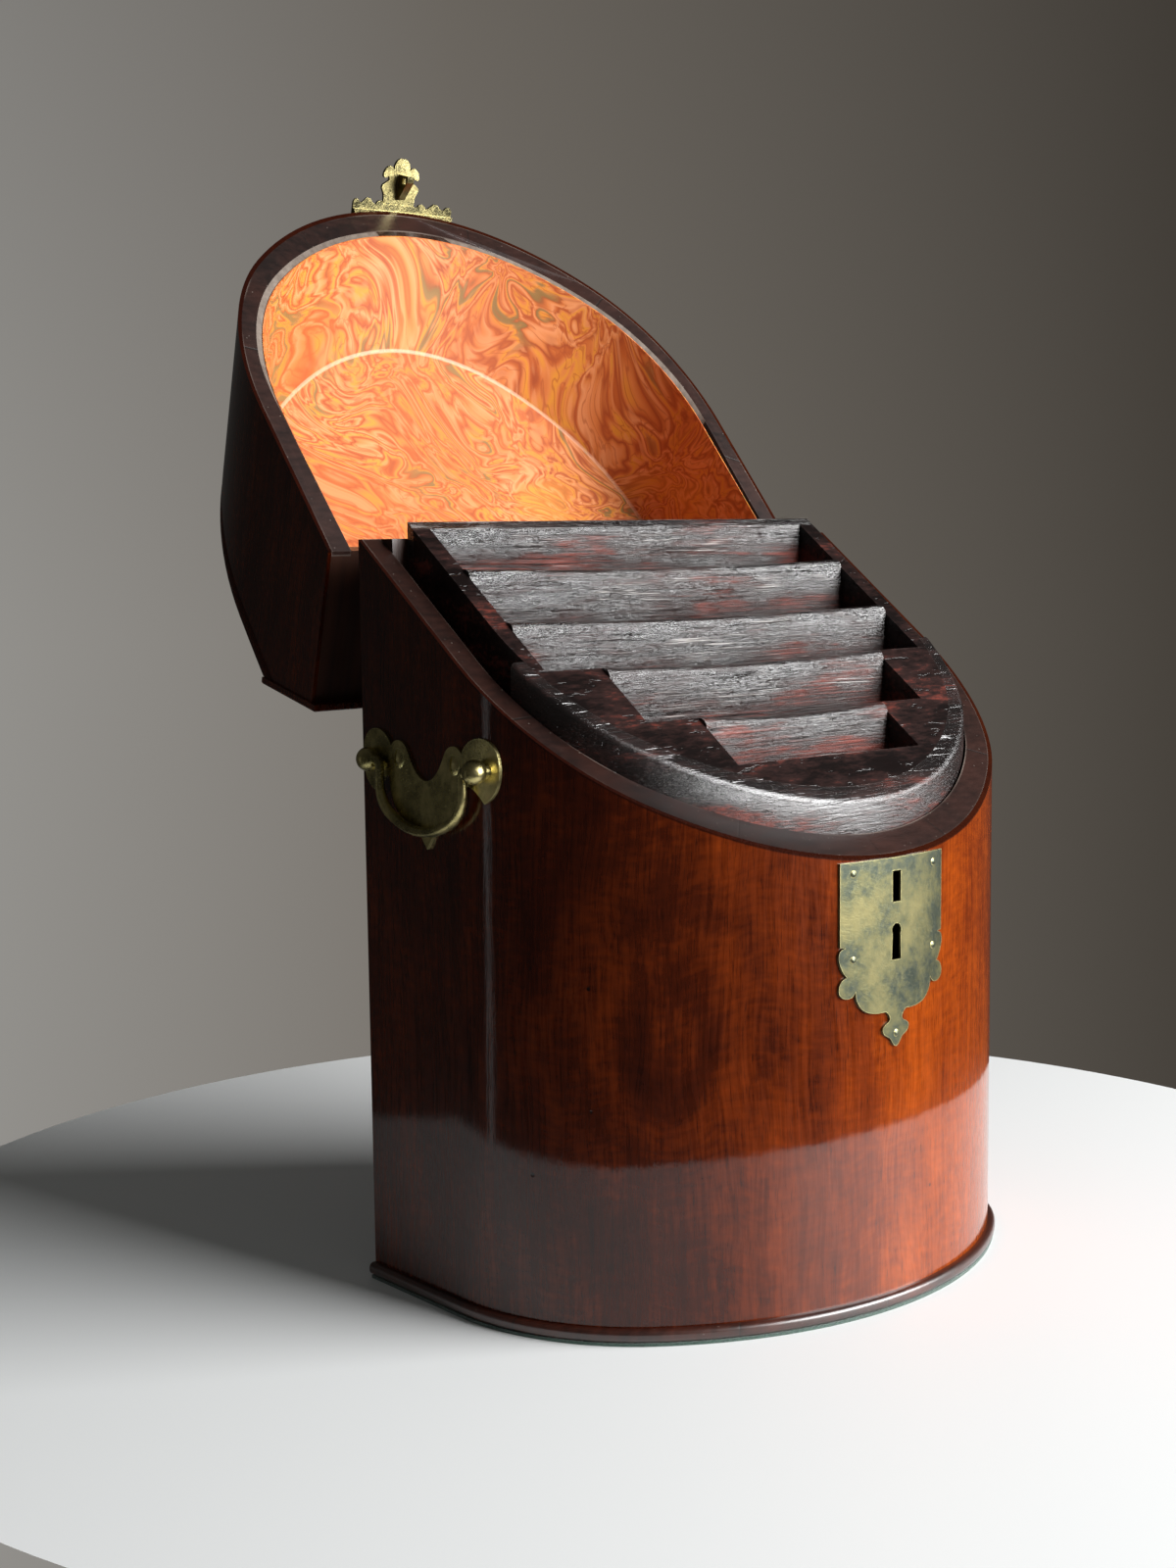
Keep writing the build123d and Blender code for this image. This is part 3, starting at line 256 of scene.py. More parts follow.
def figuredVeneer(name, onLid, eyeStrength):
    look = veneerLook
    swirl = swirlLook
    finish, tree, shader = startFinish(name, {
        "IOR": 1.45, "Specular IOR Level": look["shine"],
        "Coat Weight": look["coat"], "Coat Roughness": look["coatRoughness"], "Coat IOR": 1.5,
    })
    place = objectPlace(tree, onLid)
    wavy = warped(tree, place, *look["waves"])
    # the flame leans outward and upward, the fine grain runs upright
    cloud = noiseValue(tree, wavy, *look["cloudGrain"])
    flame = noiseValue(tree, wavy, *look["flameGrain"])
    streak = noiseValue(tree, wavy, *look["streakGrain"])
    curl = noiseValue(tree, wavy, *look["curlGrain"])
    pore = noiseValue(tree, place, *look["poreGrain"])
    offset = vectorSums(tree, "SUBTRACT", wavy, swirl["eye"])
    spread = vectorSums(tree, "DIVIDE", offset, swirl["eyeSize"])
    away = vectorSums(tree, "LENGTH", spread, (0, 0, 0))
    rings = sums(tree, "SINE", scaled(tree, away, swirl["ringRate"]))
    falling = scaled(tree, sums(tree, "MULTIPLY", away, away), swirl["fadeRate"])
    fade = sums(tree, "POWER", swirl["fadeBase"], falling)
    ringLift = scaled(tree, sums(tree, "MULTIPLY", rings, fade), swirl["ringLift"] * eyeStrength)
    eyeDark = scaled(tree, between(tree, away, *swirl["eyeReach"]), swirl["eyeDark"] * eyeStrength)
    tone = sums(tree, "MULTIPLY_ADD", cloud, look["cloudShare"], scaled(tree, flame, look["flameShare"]))
    apart = putNode(tree, "SeparateXYZ", {"Vector": place})
    # painted shade: the tone falls toward the left (-X) side and rises toward the right, standing in for the light
    # from the right
    across = between(tree, apart.outputs["X"], look["shadedSideX"], look["litSideX"], *look["paintedSideShade"])
    tone = sums(tree, "ADD", tone, across)
    tone = sums(tree, "ADD", tone, scaled(tree, streak, look["streakShare"]))
    tone = sums(tree, "ADD", tone, scaled(tree, sums(tree, "SUBTRACT", curl, 0.5), look["curlShare"]))
    tone = sums(tree, "SUBTRACT", sums(tree, "ADD", tone, ringLift), eyeDark)
    colours = [look[step] for step in ("deep", "dark", "mid", "flame")]
    colour = ramp(tree, tone, list(zip(look["colourSteps"], colours)))
    poreShare = scaled(tree, between(tree, pore, *look["poreReach"]), look["poreShare"])
    colour = mixed(tree, poreShare, colour, look["deep"])
    nick = specks(tree, place, *look["nicks"])
    colour = mixed(tree, nick, colour, look["nick"])
    along = sums(tree, "SUBTRACT", apart.outputs["Y"], rimLine["front"])
    crest = sums(tree, "MULTIPLY_ADD", along, rimLine["rise"], rimLine["height"])
    fromRim = sums(tree, "ABSOLUTE", sums(tree, "SUBTRACT", apart.outputs["Z"], crest))
    colour = mixed(tree, between(tree, fromRim, *rimLine["darkLine"]), colour, look["deep"])
    plug(tree, shader.inputs["Base Color"], colour)
    plug(tree, shader.inputs["Roughness"], between(tree, streak, *look["streakReach"], *look["roughness"]))
    ripple = noiseValue(tree, place, *look["rippleGrain"])
    pit = noiseValue(tree, place, *look["pitGrain"])
    fine = sums(tree, "MULTIPLY_ADD", pit, look["reliefPit"], ripple)
    fine = sums(tree, "MULTIPLY_ADD", streak, look["reliefStreak"], fine)
    fine = sums(tree, "SUBTRACT", fine, scaled(tree, nick, look["nickDepth"]))
    normal = bumped(tree, shader, fine, *look["relief"])
    plug(tree, shader.inputs["Coat Normal"], normal)
    return finish


# Dark mahogany of the mouldings and cross-grained bands along the rims
bandLook = {
    "dark": (0.0070, 0.0028, 0.0021),
    "mid": (0.034, 0.0092, 0.0050),
    "redDark": (0.0105, 0.0036, 0.0026),
    "redMid": (0.070, 0.0150, 0.0070),
    "worn": (0.21, 0.17, 0.145),
    "joint": (0.006, 0.003, 0.002),
    "colourSteps": (0.34, 0.70),
    "shine": 0.20,
    "coatRoughness": 0.30,
    "coatBend": 1.7,
    "roughness": (0.34, 0.50),
    "grain": ((160, 420, 160), 4.0, 0.6),
    "patch": ((24, 24, 24), 2.0),
    "grainShare": 0.4,
    "patchShare": 0.6,
    "jointPitch": 0.083,
    "jointRadius": 0.115,
    "jointShift": 0.021,
    "jointReach": (0.0002, 0.0005, 1.0, 0.0),
    "jointShare": 0.8,
    "wornEdge": (0.0011, 0.03, 0.22),
    "wornPatch": (0.38, 0.62),
    "wornShare": 0.75,
    "dust": (520, 0.16, 0.16),
    "dustShare": 0.7,
    "reliefGrain": 0.6,
    "relief": (0.35, 0.0005),
}


def rimBand(name, onLid, dark, mid):
    look = bandLook
    finish, tree, shader = startFinish(name, {
        "IOR": 1.45, "Specular IOR Level": look["shine"],
        "Coat Weight": 1.0, "Coat Roughness": look["coatRoughness"], "Coat IOR": look["coatBend"],
    })
    place = objectPlace(tree, onLid)
    grain = noiseValue(tree, place, *look["grain"])
    patch = noiseValue(tree, place, *look["patch"])
    tone = sums(tree, "MULTIPLY_ADD", patch, look["patchShare"], scaled(tree, grain, look["grainShare"]))
    colour = ramp(tree, tone, list(zip(look["colourSteps"], (dark, mid))))
    # the band is laid in short lengths, so a thin joint shows at every pitch
    apart = putNode(tree, "SeparateXYZ", {"Vector": place})
    bearing = sums(tree, "ARCTAN2", apart.outputs["X"], apart.outputs["Y"])
    around = sums(tree, "ADD", scaled(tree, bearing, look["jointRadius"]), look["jointShift"])
    away = sums(tree, "PINGPONG", around, look["jointPitch"] / 2)
    joint = between(tree, away, *look["jointReach"])
    colour = mixed(tree, scaled(tree, joint, look["jointShare"]), colour, look["joint"])
    wornPatch = between(tree, patch, *look["wornPatch"])
    worn = sums(tree, "MULTIPLY", edgeShare(tree, *look["wornEdge"]), wornPatch)
    colour = mixed(tree, scaled(tree, worn, look["wornShare"]), colour, look["worn"])
    dust = specks(tree, place, *look["dust"])
    colour = mixed(tree, scaled(tree, dust, look["dustShare"]), colour, look["worn"])
    plug(tree, shader.inputs["Base Color"], colour)
    plug(tree, shader.inputs["Roughness"], between(tree, grain, *noiseSpread, *look["roughness"]))
    rough = sums(tree, "SUBTRACT", scaled(tree, grain, look["reliefGrain"]), joint)
    bumped(tree, shader, rough, *look["relief"])
    return finish


# Stained boards of the rack, rough-sawn and thickly waxed, glossiest near the top where hands rub
rackLook = {
    "dark": (0.0052, 0.0030, 0.0028),
    "mid": (0.023, 0.0105, 0.0092),
    "red": (0.175, 0.036, 0.0240),
    "pale": (0.48, 0.45, 0.43),
    "colourSteps": (0.42, 0.55, 0.70),
    "shine": 0.22,
    "coatBend": 2.15,
    "roughness": (0.30, 0.48),
    "coatReach": (0.35, 0.65),
    "coatRoughness": (0.15, 0.27),
    "crestFront": 0.180,
    "waves": ((16, 30, 40), 0.0022),
    "sawnGrain": (6.0, 0.72),
    "fibreGrain": (2.6, 3.0, 0.6),
    "splitGrain": (0.55, 3.0, 0.6),
    "dashGrain": (1.2, 2.0, 0.5),
    "patchGrain": ((17, 30, 75), 4.0, 0.6),
    "whereGrain": ((24, 40, 70), 2.0),
    "wornReach": (0.019, 0.036, 1.0, 0.0),
    "wornPatch": 0.045,
    "sawnShare": 0.5,
    "patchShare": 0.6,
    "splitReach": (0.63, 0.68),
    "splitShare": 0.85,
    "dashReach": (0.60, 0.65),
    "whereReach": (0.50, 0.60),
    "wornEdge": (0.0012, 0.02, 0.2),
    "edgeGrain": (0.48, 0.60),
    "edgeShare": (0.05, 0.50),
    "paleShare": 0.55,
    "dust": (430, 0.12, 0.10),
    "dustShare": 0.25,
    "dullCoat": 0.06,
    "reliefSplit": -0.5,
    "reliefFibre": 0.22,
    "reliefChip": 0.25,
    "relief": (0.62, 0.0010),
}


def rackWood(name, stretch, sawn, gloss, redness, chipsAndGlints):
    look = rackLook

    def alongGrain(factor, detail, roughness):
        return noiseValue(tree, wavy, [rate * factor for rate in stretch], detail, roughness)

    finish, tree, shader = startFinish(name, {
        "IOR": 1.5, "Specular IOR Level": look["shine"], "Coat IOR": look["coatBend"],
    })
    place = objectPlace(tree)
    apart = putNode(tree, "SeparateXYZ", {"Vector": place})
    # how far below the top of the rack, which slopes as the rim does
    along = sums(tree, "SUBTRACT", apart.outputs["Y"], rimLine["front"])
    crest = sums(tree, "MULTIPLY_ADD", along, rimLine["rise"], look["crestFront"])
    below = sums(tree, "SUBTRACT", crest, apart.outputs["Z"])
    wavy = warped(tree, place, *look["waves"])
    long = noiseValue(tree, wavy, stretch, *look["sawnGrain"])
    fibres = alongGrain(*look["fibreGrain"])
    patch = noiseValue(tree, wavy, *look["patchGrain"])
    worn = between(tree, sums(tree, "MULTIPLY_ADD", patch, look["wornPatch"], below), *look["wornReach"])
    tone = sums(tree, "MULTIPLY_ADD", long, look["sawnShare"], scaled(tree, patch, look["patchShare"]))
    tone = sums(tree, "SUBTRACT", tone, scaled(tree, worn, redness))
    colour = ramp(tree, tone, list(zip(look["colourSteps"], (look["dark"], look["mid"], look["red"]))))
    split = between(tree, alongGrain(*look["splitGrain"]), *look["splitReach"])
    colour = mixed(tree, scaled(tree, split, look["splitShare"]), colour, look["dark"])
    # chipped splinters, with short white dashes painted on them as glints where they catch the light; the chip
    # relief below is real
    dash = between(tree, alongGrain(*look["dashGrain"]), *look["dashReach"])
    where = between(tree, noiseValue(tree, place, *look["whereGrain"]), *look["whereReach"])
    chipAndGlint = sums(tree, "MULTIPLY", dash, where)
    edge = edgeShare(tree, *look["wornEdge"])
    edge = sums(tree, "MULTIPLY", edge, between(tree, long, *look["edgeGrain"]))
    plainEdge, chippedEdge = look["edgeShare"]
    edge = scaled(tree, edge, plainEdge + chippedEdge * chipsAndGlints)
    # painted highlight: the chip dashes are whitened as glints, mixed with pale wear on the rubbed edges
    pale = scaled(tree, sums(tree, "MAXIMUM", scaled(tree, chipAndGlint, chipsAndGlints), edge), look["paleShare"])
    colour = mixed(tree, pale, colour, look["pale"])
    dust = specks(tree, place, *look["dust"])
    colour = mixed(tree, scaled(tree, dust, look["dustShare"]), colour, look["pale"])
    plug(tree, shader.inputs["Base Color"], colour)
    plug(tree, shader.inputs["Roughness"], between(tree, patch, *noiseSpread, *look["roughness"]))
    plug(tree, shader.inputs["Coat Weight"], between(tree, worn, 0.0, 1.0, look["dullCoat"] * gloss, gloss))
    coatRough = between(tree, patch, *look["coatReach"], *look["coatRoughness"])
    plug(tree, shader.inputs["Coat Roughness"], coatRough)
    height = sums(tree, "MULTIPLY_ADD", long, sawn, scaled(tree, split, look["reliefSplit"]))
    height = sums(tree, "MULTIPLY_ADD", chipAndGlint, look["reliefChip"] * chipsAndGlints, height)
    height = sums(tree, "MULTIPLY_ADD", fibres, sawn * look["reliefFibre"], height)
    normal = bumped(tree, shader, height, *look["relief"])
    plug(tree, shader.inputs["Coat Normal"], normal)
    return finish


# Plain secondary timber: backs, insides and the bare strip under the lid's paper, whose pale grey is partly
# painted sheen
timberLook = {
    "coat": 0.15,
    "coatRoughness": 0.3,
    "roughness": (0.38, 0.55),
    "grain": ((300, 300, 12), 4.0, 0.6),
    "patch": ((14, 14, 14), 2.0),
    "grainShare": 0.6,
    "patchShare": 0.4,
    "colourSteps": (0.35, 0.68),
    "relief": (0.25, 0.0006),
}


def plainWood(name, dark, pale, onLid=False):
    look = timberLook
    finish, tree, shader = startFinish(name, {
        "IOR": 1.5, "Coat Weight": look["coat"], "Coat Roughness": look["coatRoughness"],
    })
    place = objectPlace(tree, onLid)
    grain = noiseValue(tree, place, *look["grain"])
    patch = noiseValue(tree, place, *look["patch"])
    tone = sums(tree, "MULTIPLY_ADD", grain, look["grainShare"], scaled(tree, patch, look["patchShare"]))
    colour = ramp(tree, tone, list(zip(look["colourSteps"], (dark, pale))))
    plug(tree, shader.inputs["Base Color"], colour)
    plug(tree, shader.inputs["Roughness"], between(tree, patch, *noiseSpread, *look["roughness"]))
    bumped(tree, shader, grain, *look["relief"])
    return finish


# Hand-marbled paper: colours floated on size, combed and drawn into curls
paperLook = {
    "peach": (0.58, 0.180, 0.046),
    "pale": (0.67, 0.265, 0.105),
    "yellow": (0.62, 0.245, 0.026),
    "orange": (0.46, 0.108, 0.022),
    "line": (0.33, 0.064, 0.015),
    "olive": (0.170, 0.135, 0.042),
    # painted highlight: the pale colour laid over the paper along the lid's crease
    "rubbed": (0.82, 0.52, 0.34),
    "shine": 0.3,
    "coat": 0.25,
    "coatRoughness": 0.38,
    "roughness": (0.46, 0.6),
    "sheetShift": (0.37, 0.21, 0.13),
    "curls": (
        ((13, 13, 13), 0.075, 0.0), ((30, 30, 30), 0.034, 0.0), ((74, 74, 74), 0.0100, 0.0),
    ),
    "aslant": ((1.0, -1.0, 0.2), math.radians(52)),
    "bandGrain": ((44, 44, 11), 3.0, 0.45),
    "threadGrain": ((260, 260, 34), 2.0, 0.5),
    "wideGrain": ((16, 9, 12), 1.0),
    "whereGrain": ((16, 16, 16), 1.0),
    "fibreGrain": ((900, 900, 900), 2.0),
    "buckleGrain": ((28, 28, 28), 2.0),
    "turns": 9.0,
    "turnColours": (
        (0.0, "peach"), (0.16, "pale"), (0.29, "orange"), (0.37, "line"), (0.45, "peach"),
        (0.58, "yellow"), (0.70, "peach"), (0.80, "orange"), (0.88, "line"), (1.0, "peach"),
    ),
    "threadReach": (0.006, 0.030, 0.55, 0.0),
    "paleReach": (0.58, 0.64, 0.0, 0.5),
    "warmReach": (0.46, 0.62),
    "warmShare": 0.38,
    "goldenReach": (0.40, 0.32),
    "goldenShare": 0.40,
    "veinMiddle": 0.53,
    "veinReach": (0.006, 0.018, 1.0, 0.0),
    "veinWhere": (0.46, 0.54),
    "veinShare": 0.75,
    "reliefFibre": 0.05,
    "relief": (0.18, 0.0015),
}


def marbledPaper(name, creaseHighlight):
    look = paperLook
    finish, tree, shader = startFinish(name, {
        "IOR": 1.45, "Specular IOR Level": look["shine"],
        "Coat Weight": look["coat"], "Coat Roughness": look["coatRoughness"],
    })
    place = objectPlace(tree, True)
    sheet = putNode(tree, "Attribute", attribute_name="sheet").outputs["Vector"]
    place = vectorSums(tree, "ADD", place, vectorSums(tree, "MULTIPLY", sheet, look["sheetShift"]))
    curled = place
    for curl in look["curls"]:
        curled = warped(tree, curled, *curl)
    # the lines lie aslant to every wall of the lid
    aslant = spun(tree, curled, *look["aslant"])
    bands = noiseValue(tree, aslant, *look["bandGrain"])
    threads = noiseValue(tree, aslant, *look["threadGrain"])
    # the same colours come round again and again as thin drawn-out lines
    turns = sums(tree, "FRACT", scaled(tree, bands, look["turns"]))
    colour = ramp(tree, turns, [(step, look[tint]) for step, tint in look["turnColours"]])
    fromThread = sums(tree, "ABSOLUTE", sums(tree, "SUBTRACT", threads, 0.5))
    colour = mixed(tree, between(tree, fromThread, *look["threadReach"]), colour, look["line"])
    colour = mixed(tree, between(tree, threads, *look["paleReach"]), colour, look["pale"])
    wide = noiseValue(tree, curled, *look["wideGrain"])
    warm = between(tree, wide, *look["warmReach"])
    colour = mixed(tree, scaled(tree, warm, look["warmShare"]), colour, look["orange"])
    golden = between(tree, wide, *look["goldenReach"])
    colour = mixed(tree, scaled(tree, golden, look["goldenShare"]), colour, look["yellow"])
    fromVein = sums(tree, "ABSOLUTE", sums(tree, "SUBTRACT", bands, look["veinMiddle"]))
    where = between(tree, noiseValue(tree, place, *look["whereGrain"]), *look["veinWhere"])
    vein = sums(tree, "MULTIPLY", between(tree, fromVein, *look["veinReach"]), where)
    colour = mixed(tree, scaled(tree, vein, look["veinShare"]), colour, look["olive"])
    # painted highlight: the crease copy of the paper is paled toward the highlight colour
    plug(tree, shader.inputs["Base Color"], mixed(tree, creaseHighlight, colour, look["rubbed"]))
    fibre = noiseValue(tree, place, *look["fibreGrain"])
    plug(tree, shader.inputs["Roughness"], between(tree, fibre, *noiseSpread, *look["roughness"]))
    buckle = noiseValue(tree, place, *look["buckleGrain"])
    height = sums(tree, "MULTIPLY_ADD", fibre, look["reliefFibre"], buckle)
    bumped(tree, shader, height, *look["relief"])
    return finish


# Brass, scratched and tarnished in patches
brassLook = {
    "patchGrain": ((62, 62, 62), 5.0, 0.62),
    "spotGrain": ((420, 420, 420), 4.0, 0.65),
    "patchShare": 0.78,
    "spotShare": 0.26,
    "colourSteps": (0.42, 0.52, 0.64),
    "scratchAxis": (0.2, 1.0, 0.1),
    "scratchTurns": (18, 74, 131),
    "scratchGrain": ((4300, 1800, 60), 1.0),
    "scratchReach": (0.60, 0.68),
    "scratchShare": 0.22,
    "scratchRough": 0.16,
    "dulledReach": (0.3, 0.75),
    "rubbedEdge": (0.0006, 0.02, 0.22),
    "brightest": 0.95,
    "reliefScratch": -0.35,
    "relief": (0.20, 0.00022),
}


def brass(name, bright, dull, patina, roughness, wear, polish=1.35, onLid=False):
    look = brassLook
    finish, tree, shader = startFinish(name, {"Metallic": 1.0})
    place = objectPlace(tree, onLid)
    patch = noiseValue(tree, place, *look["patchGrain"])
    spot = noiseValue(tree, place, *look["spotGrain"])
    tone = sums(tree, "MULTIPLY_ADD", patch, look["patchShare"], scaled(tree, spot, look["spotShare"]))
    colour = ramp(tree, tone, list(zip(look["colourSteps"], (patina, dull, bright))))
    lines = [
        noiseValue(tree, spun(tree, place, look["scratchAxis"], math.radians(turn)), *look["scratchGrain"])
        for turn in look["scratchTurns"]
    ]
    scratch = sums(tree, "MAXIMUM", sums(tree, "MAXIMUM", lines[0], lines[1]), lines[2])
    scratched = between(tree, scratch, *look["scratchReach"])
    colour = mixed(tree, scaled(tree, scratched, look["scratchShare"]), colour, bright)
    rubbed = scaled(tree, edgeShare(tree, *look["rubbedEdge"]), wear)
    colour = mixed(tree, rubbed, colour, [min(look["brightest"], polish * part) for part in bright])
    plug(tree, shader.inputs["Base Color"], colour)
    dulled = sums(tree, "MULTIPLY_ADD", scratched, look["scratchRough"], patch)
    plug(tree, shader.inputs["Roughness"], between(tree, dulled, *look["dulledReach"], *roughness))
    height = sums(tree, "MULTIPLY_ADD", scratched, look["reliefScratch"], spot)
    bumped(tree, shader, height, *look["relief"])
    return finish


# Felted cloth under the base
baizeLook = {
    "dark": (0.008, 0.030, 0.020),
    "pale": (0.045, 0.12, 0.085),
    "colourSteps": (0.35, 0.68),
    "fluffGrain": ((1400, 1400, 1400), 4.0, 0.7),
    "relief": (0.9, 0.0012),
}


def greenBaize():
    look = baizeLook
    finish, tree, shader = startFinish("greenBaize", {
        "Roughness": 0.95, "Sheen Weight": 0.5, "Sheen Roughness": 0.5,
    })
    fluff = noiseValue(tree, objectPlace(tree), *look["fluffGrain"])
    colour = ramp(tree, fluff, list(zip(look["colourSteps"], (look["dark"], look["pale"]))))
    plug(tree, shader.inputs["Base Color"], colour)
    bumped(tree, shader, fluff, *look["relief"])
    return finish


# Iron of the lock, hidden behind its plate
ironLook = {
    "dark": (0.05, 0.045, 0.042),
    "rust": (0.10, 0.06, 0.04),
    "colourSteps": (0.4, 0.65),
    "rustGrain": ((260, 260, 260), 4.0, 0.6),
    "roughness": (0.45, 0.7),
    "relief": (0.4, 0.0004),
}


def darkIron():
    look = ironLook
    finish, tree, shader = startFinish("darkIron", {"Metallic": 1.0})
    rust = noiseValue(tree, objectPlace(tree), *look["rustGrain"])
    colour = ramp(tree, rust, list(zip(look["colourSteps"], (look["dark"], look["rust"]))))
    plug(tree, shader.inputs["Base Color"], colour)
    plug(tree, shader.inputs["Roughness"], between(tree, rust, *noiseSpread, *look["roughness"]))
    bumped(tree, shader, rust, *look["relief"])
    return finish


caseVeneer = figuredVeneer("caseVeneer", False, 1.0)
lidVeneer = figuredVeneer("lidVeneer", True, 0.0)
caseBand = rimBand("caseBand", False, bandLook["dark"], bandLook["mid"])
mouldingWood = rimBand("mouldingWood", False, bandLook["redDark"], bandLook["redMid"])
lidBand = rimBand("lidBand", True, bandLook["dark"], bandLook["mid"])
rackBoards = rackWood("rackBoards", (26, 1000, 1350), sawn=1.10, gloss=1.0, redness=0.12, chipsAndGlints=1.0)
frontBoard = rackWood("frontBoard", (60, 600, 1300), sawn=0.55, gloss=0.9, redness=0.10, chipsAndGlints=0.1)
rackBlocks = rackWood("rackBlocks", (150, 500, 500), sawn=0.14, gloss=0.10, redness=0.08, chipsAndGlints=0.0)
carcassWood = plainWood("carcassWood", (0.012, 0.0050, 0.0034), (0.045, 0.018, 0.010))
backWood = plainWood("backWood", (0.018, 0.0060, 0.0034), (0.070, 0.022, 0.010))
# bare wood, its greyish pale partly a painted sheen where the strip catches the light
paleStripAndSheen = plainWood("paleStripAndSheen", (0.10, 0.075, 0.06), (0.22, 0.18, 0.15), onLid=True)
lidBackWood = plainWood("lidBackWood", (0.018, 0.0060, 0.0034), (0.070, 0.022, 0.010), onLid=True)
paper = marbledPaper("marbledPaper", 0.0)
# painted highlight: a paler copy of the paper for the rounded crease
creaseHighlightPaper = marbledPaper("creaseHighlightPaper", 0.32)
plateBrass = brass(
    "plateBrass", bright=(0.205, 0.185, 0.088), dull=(0.150, 0.148, 0.080), patina=(0.080, 0.096, 0.076),
    roughness=(0.36, 0.48), wear=0.9, polish=3.0,
)
haspBrass = brass(
    "haspBrass", bright=(0.42, 0.36, 0.165), dull=(0.280, 0.240, 0.105), patina=(0.110, 0.100, 0.050),
    roughness=(0.22, 0.36), wear=0.9, onLid=True,
)
handleBrass = brass(
    "handleBrass", bright=(0.80, 0.68, 0.31), dull=(0.52, 0.45, 0.195), patina=(0.255, 0.225, 0.10),
    roughness=(0.20, 0.36), wear=0.9,
)
hingeBrass = brass(
    "hingeBrass", bright=(0.52, 0.42, 0.20), dull=(0.27, 0.22, 0.105), patina=(0.11, 0.095, 0.05),
    roughness=(0.30, 0.50), wear=0.7,
)
baize = greenBaize()
iron = darkIron()
print("finishes made")


# Mesh work starts from a cleaned copy of a CAD piece; angles are in degrees
shapeLook = {
    "sameCorner": 2e-6,
    "flatAngle": 0.5,
    "sharpFrom": 25,
    "sharpTo": 170,
    "smoothAngle": 38,
    "easedAngle": 25,
}


def startShape(nodeName):
    shape = bmesh.new()
    shape.from_mesh(nodes[nodeName].data)
    bmesh.ops.remove_doubles(shape, verts=shape.verts[:], dist=shapeLook["sameCorner"])
    bmesh.ops.dissolve_limit(
        shape, angle_limit=math.radians(shapeLook["flatAngle"]), verts=shape.verts[:], edges=shape.edges[:],
    )
    return shape


def finishShape(shape, pieceName, replaced, finish, smoothAngle=shapeLook["smoothAngle"]):
    bmesh.ops.recalc_face_normals(shape, faces=shape.faces[:])
    mesh = bpy.data.meshes.new(pieceName)
    shape.to_mesh(mesh)
    shape.free()
    for stale in ("custom_normal", "sharp_edge", "sharp_face"):
        if stale in mesh.attributes:
            mesh.attributes.remove(mesh.attributes[stale])
    mesh.shade_smooth()
    mesh.set_sharp_from_angle(angle=math.radians(smoothAngle))
    for coat in finish if isinstance(finish, list) else [finish]:
        mesh.materials.append(coat)
    piece = bpy.data.objects.new(pieceName, mesh)
    bpy.context.scene.collection.objects.link(piece)
    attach(piece, bodyOf[replaced[0]])
    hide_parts(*replaced)
    return piece


def sharpEdges(shape, low=shapeLook["sharpFrom"]):
    return [
        edge
        for edge in shape.edges
        if len(edge.link_faces) == 2
        and low < math.degrees(edge.calc_face_angle(0.0)) < shapeLook["sharpTo"]
    ]


def eased(nodeName, pieceName, finish, width):
    # the CAD piece with its sharp arrises eased, as after years of handling
    shape = startShape(nodeName)
    bmesh.ops.bevel(
        shape, geom=sharpEdges(shape), offset=width, segments=1, profile=0.5,
        affect="EDGES", clamp_overlap=True,
    )
    return finishShape(shape, pieceName, [nodeName], finish, shapeLook["easedAngle"])


def dress(nodeNames, finish):
    for nodeName in nodeNames:
        for materialSlot in nodes[nodeName].material_slots:
            materialSlot.material = finish


# Camera at a standing viewer's left, above the table
cameraLook = {
    "place": (-0.58437, -0.60295, 0.28894),
    "turn": (83.2696, 0.6855, -40.0206),
    "lens": 49.671,
}
cameraData = bpy.data.cameras.new("camera")
cameraData.lens = cameraLook["lens"]
cameraData.sensor_width = 36.0
cameraData.dof.use_dof = False
camera = bpy.data.objects.new("camera", cameraData)
camera.location = cameraLook["place"]
camera.rotation_euler = Euler([math.radians(a) for a in cameraLook["turn"]])
bpy.context.scene.collection.objects.link(camera)
bpy.context.scene.camera = camera

dress(["case_veneer"], caseVeneer)
dress(["lid_veneer", "lid_slope_panel", "lid_top_board"], lidVeneer)
dress(["case_rim_banding"], caseBand)
dress(["base_moulding"], mouldingWood)
dress(["lid_rim_banding"], lidBand)
dress(["case_wall", "bottom_board", "packing_left", "packing_right", "rack_floor"], carcassWood)
dress(["case_back_board"], backWood)
dress(["lid_back_board", "lid_wall"], lidBackWood)
dress(["lid_lining"], paper)
dress(["rack_back", "divider_1", "divider_2", "divider_3", "divider_4"], rackBoards)
dress(["front_wall"], frontBoard)
dress(["rack_side_left", "rack_side_right", "front_block"], rackBlocks)
dress([n for n in nodes if n.startswith("corner_block")], rackBlocks)
dress(["lock_plate", "lock_plate_nails"], plateBrass)
dress(["hasp_plate", "hasp_plate_nails", "hasp_pin", "hasp"], haspBrass)
dress([n for n in nodes if n.startswith(("handle_", "bail_"))], handleBrass)
dress(["case_hinge_leaves", "lid_hinge_leaves"], hingeBrass)
dress(["case_hinge_screws", "lid_hinge_screws", "hinge_pins"], hingeBrass)
dress(["baize_pad"], baize)
dress(["lock_case", "lock_bolt", "lock_spring"], iron)
print("camera and first coats done")

# Turns a point or a facing of the open lid to where it lies when the lid is shut
lidTurning = Matrix.Rotation(lidTurn, 3, "X")


def whenShut(point):
    return lidTurning @ (point - Vector(lidPivot)) + Vector(lidPivot)


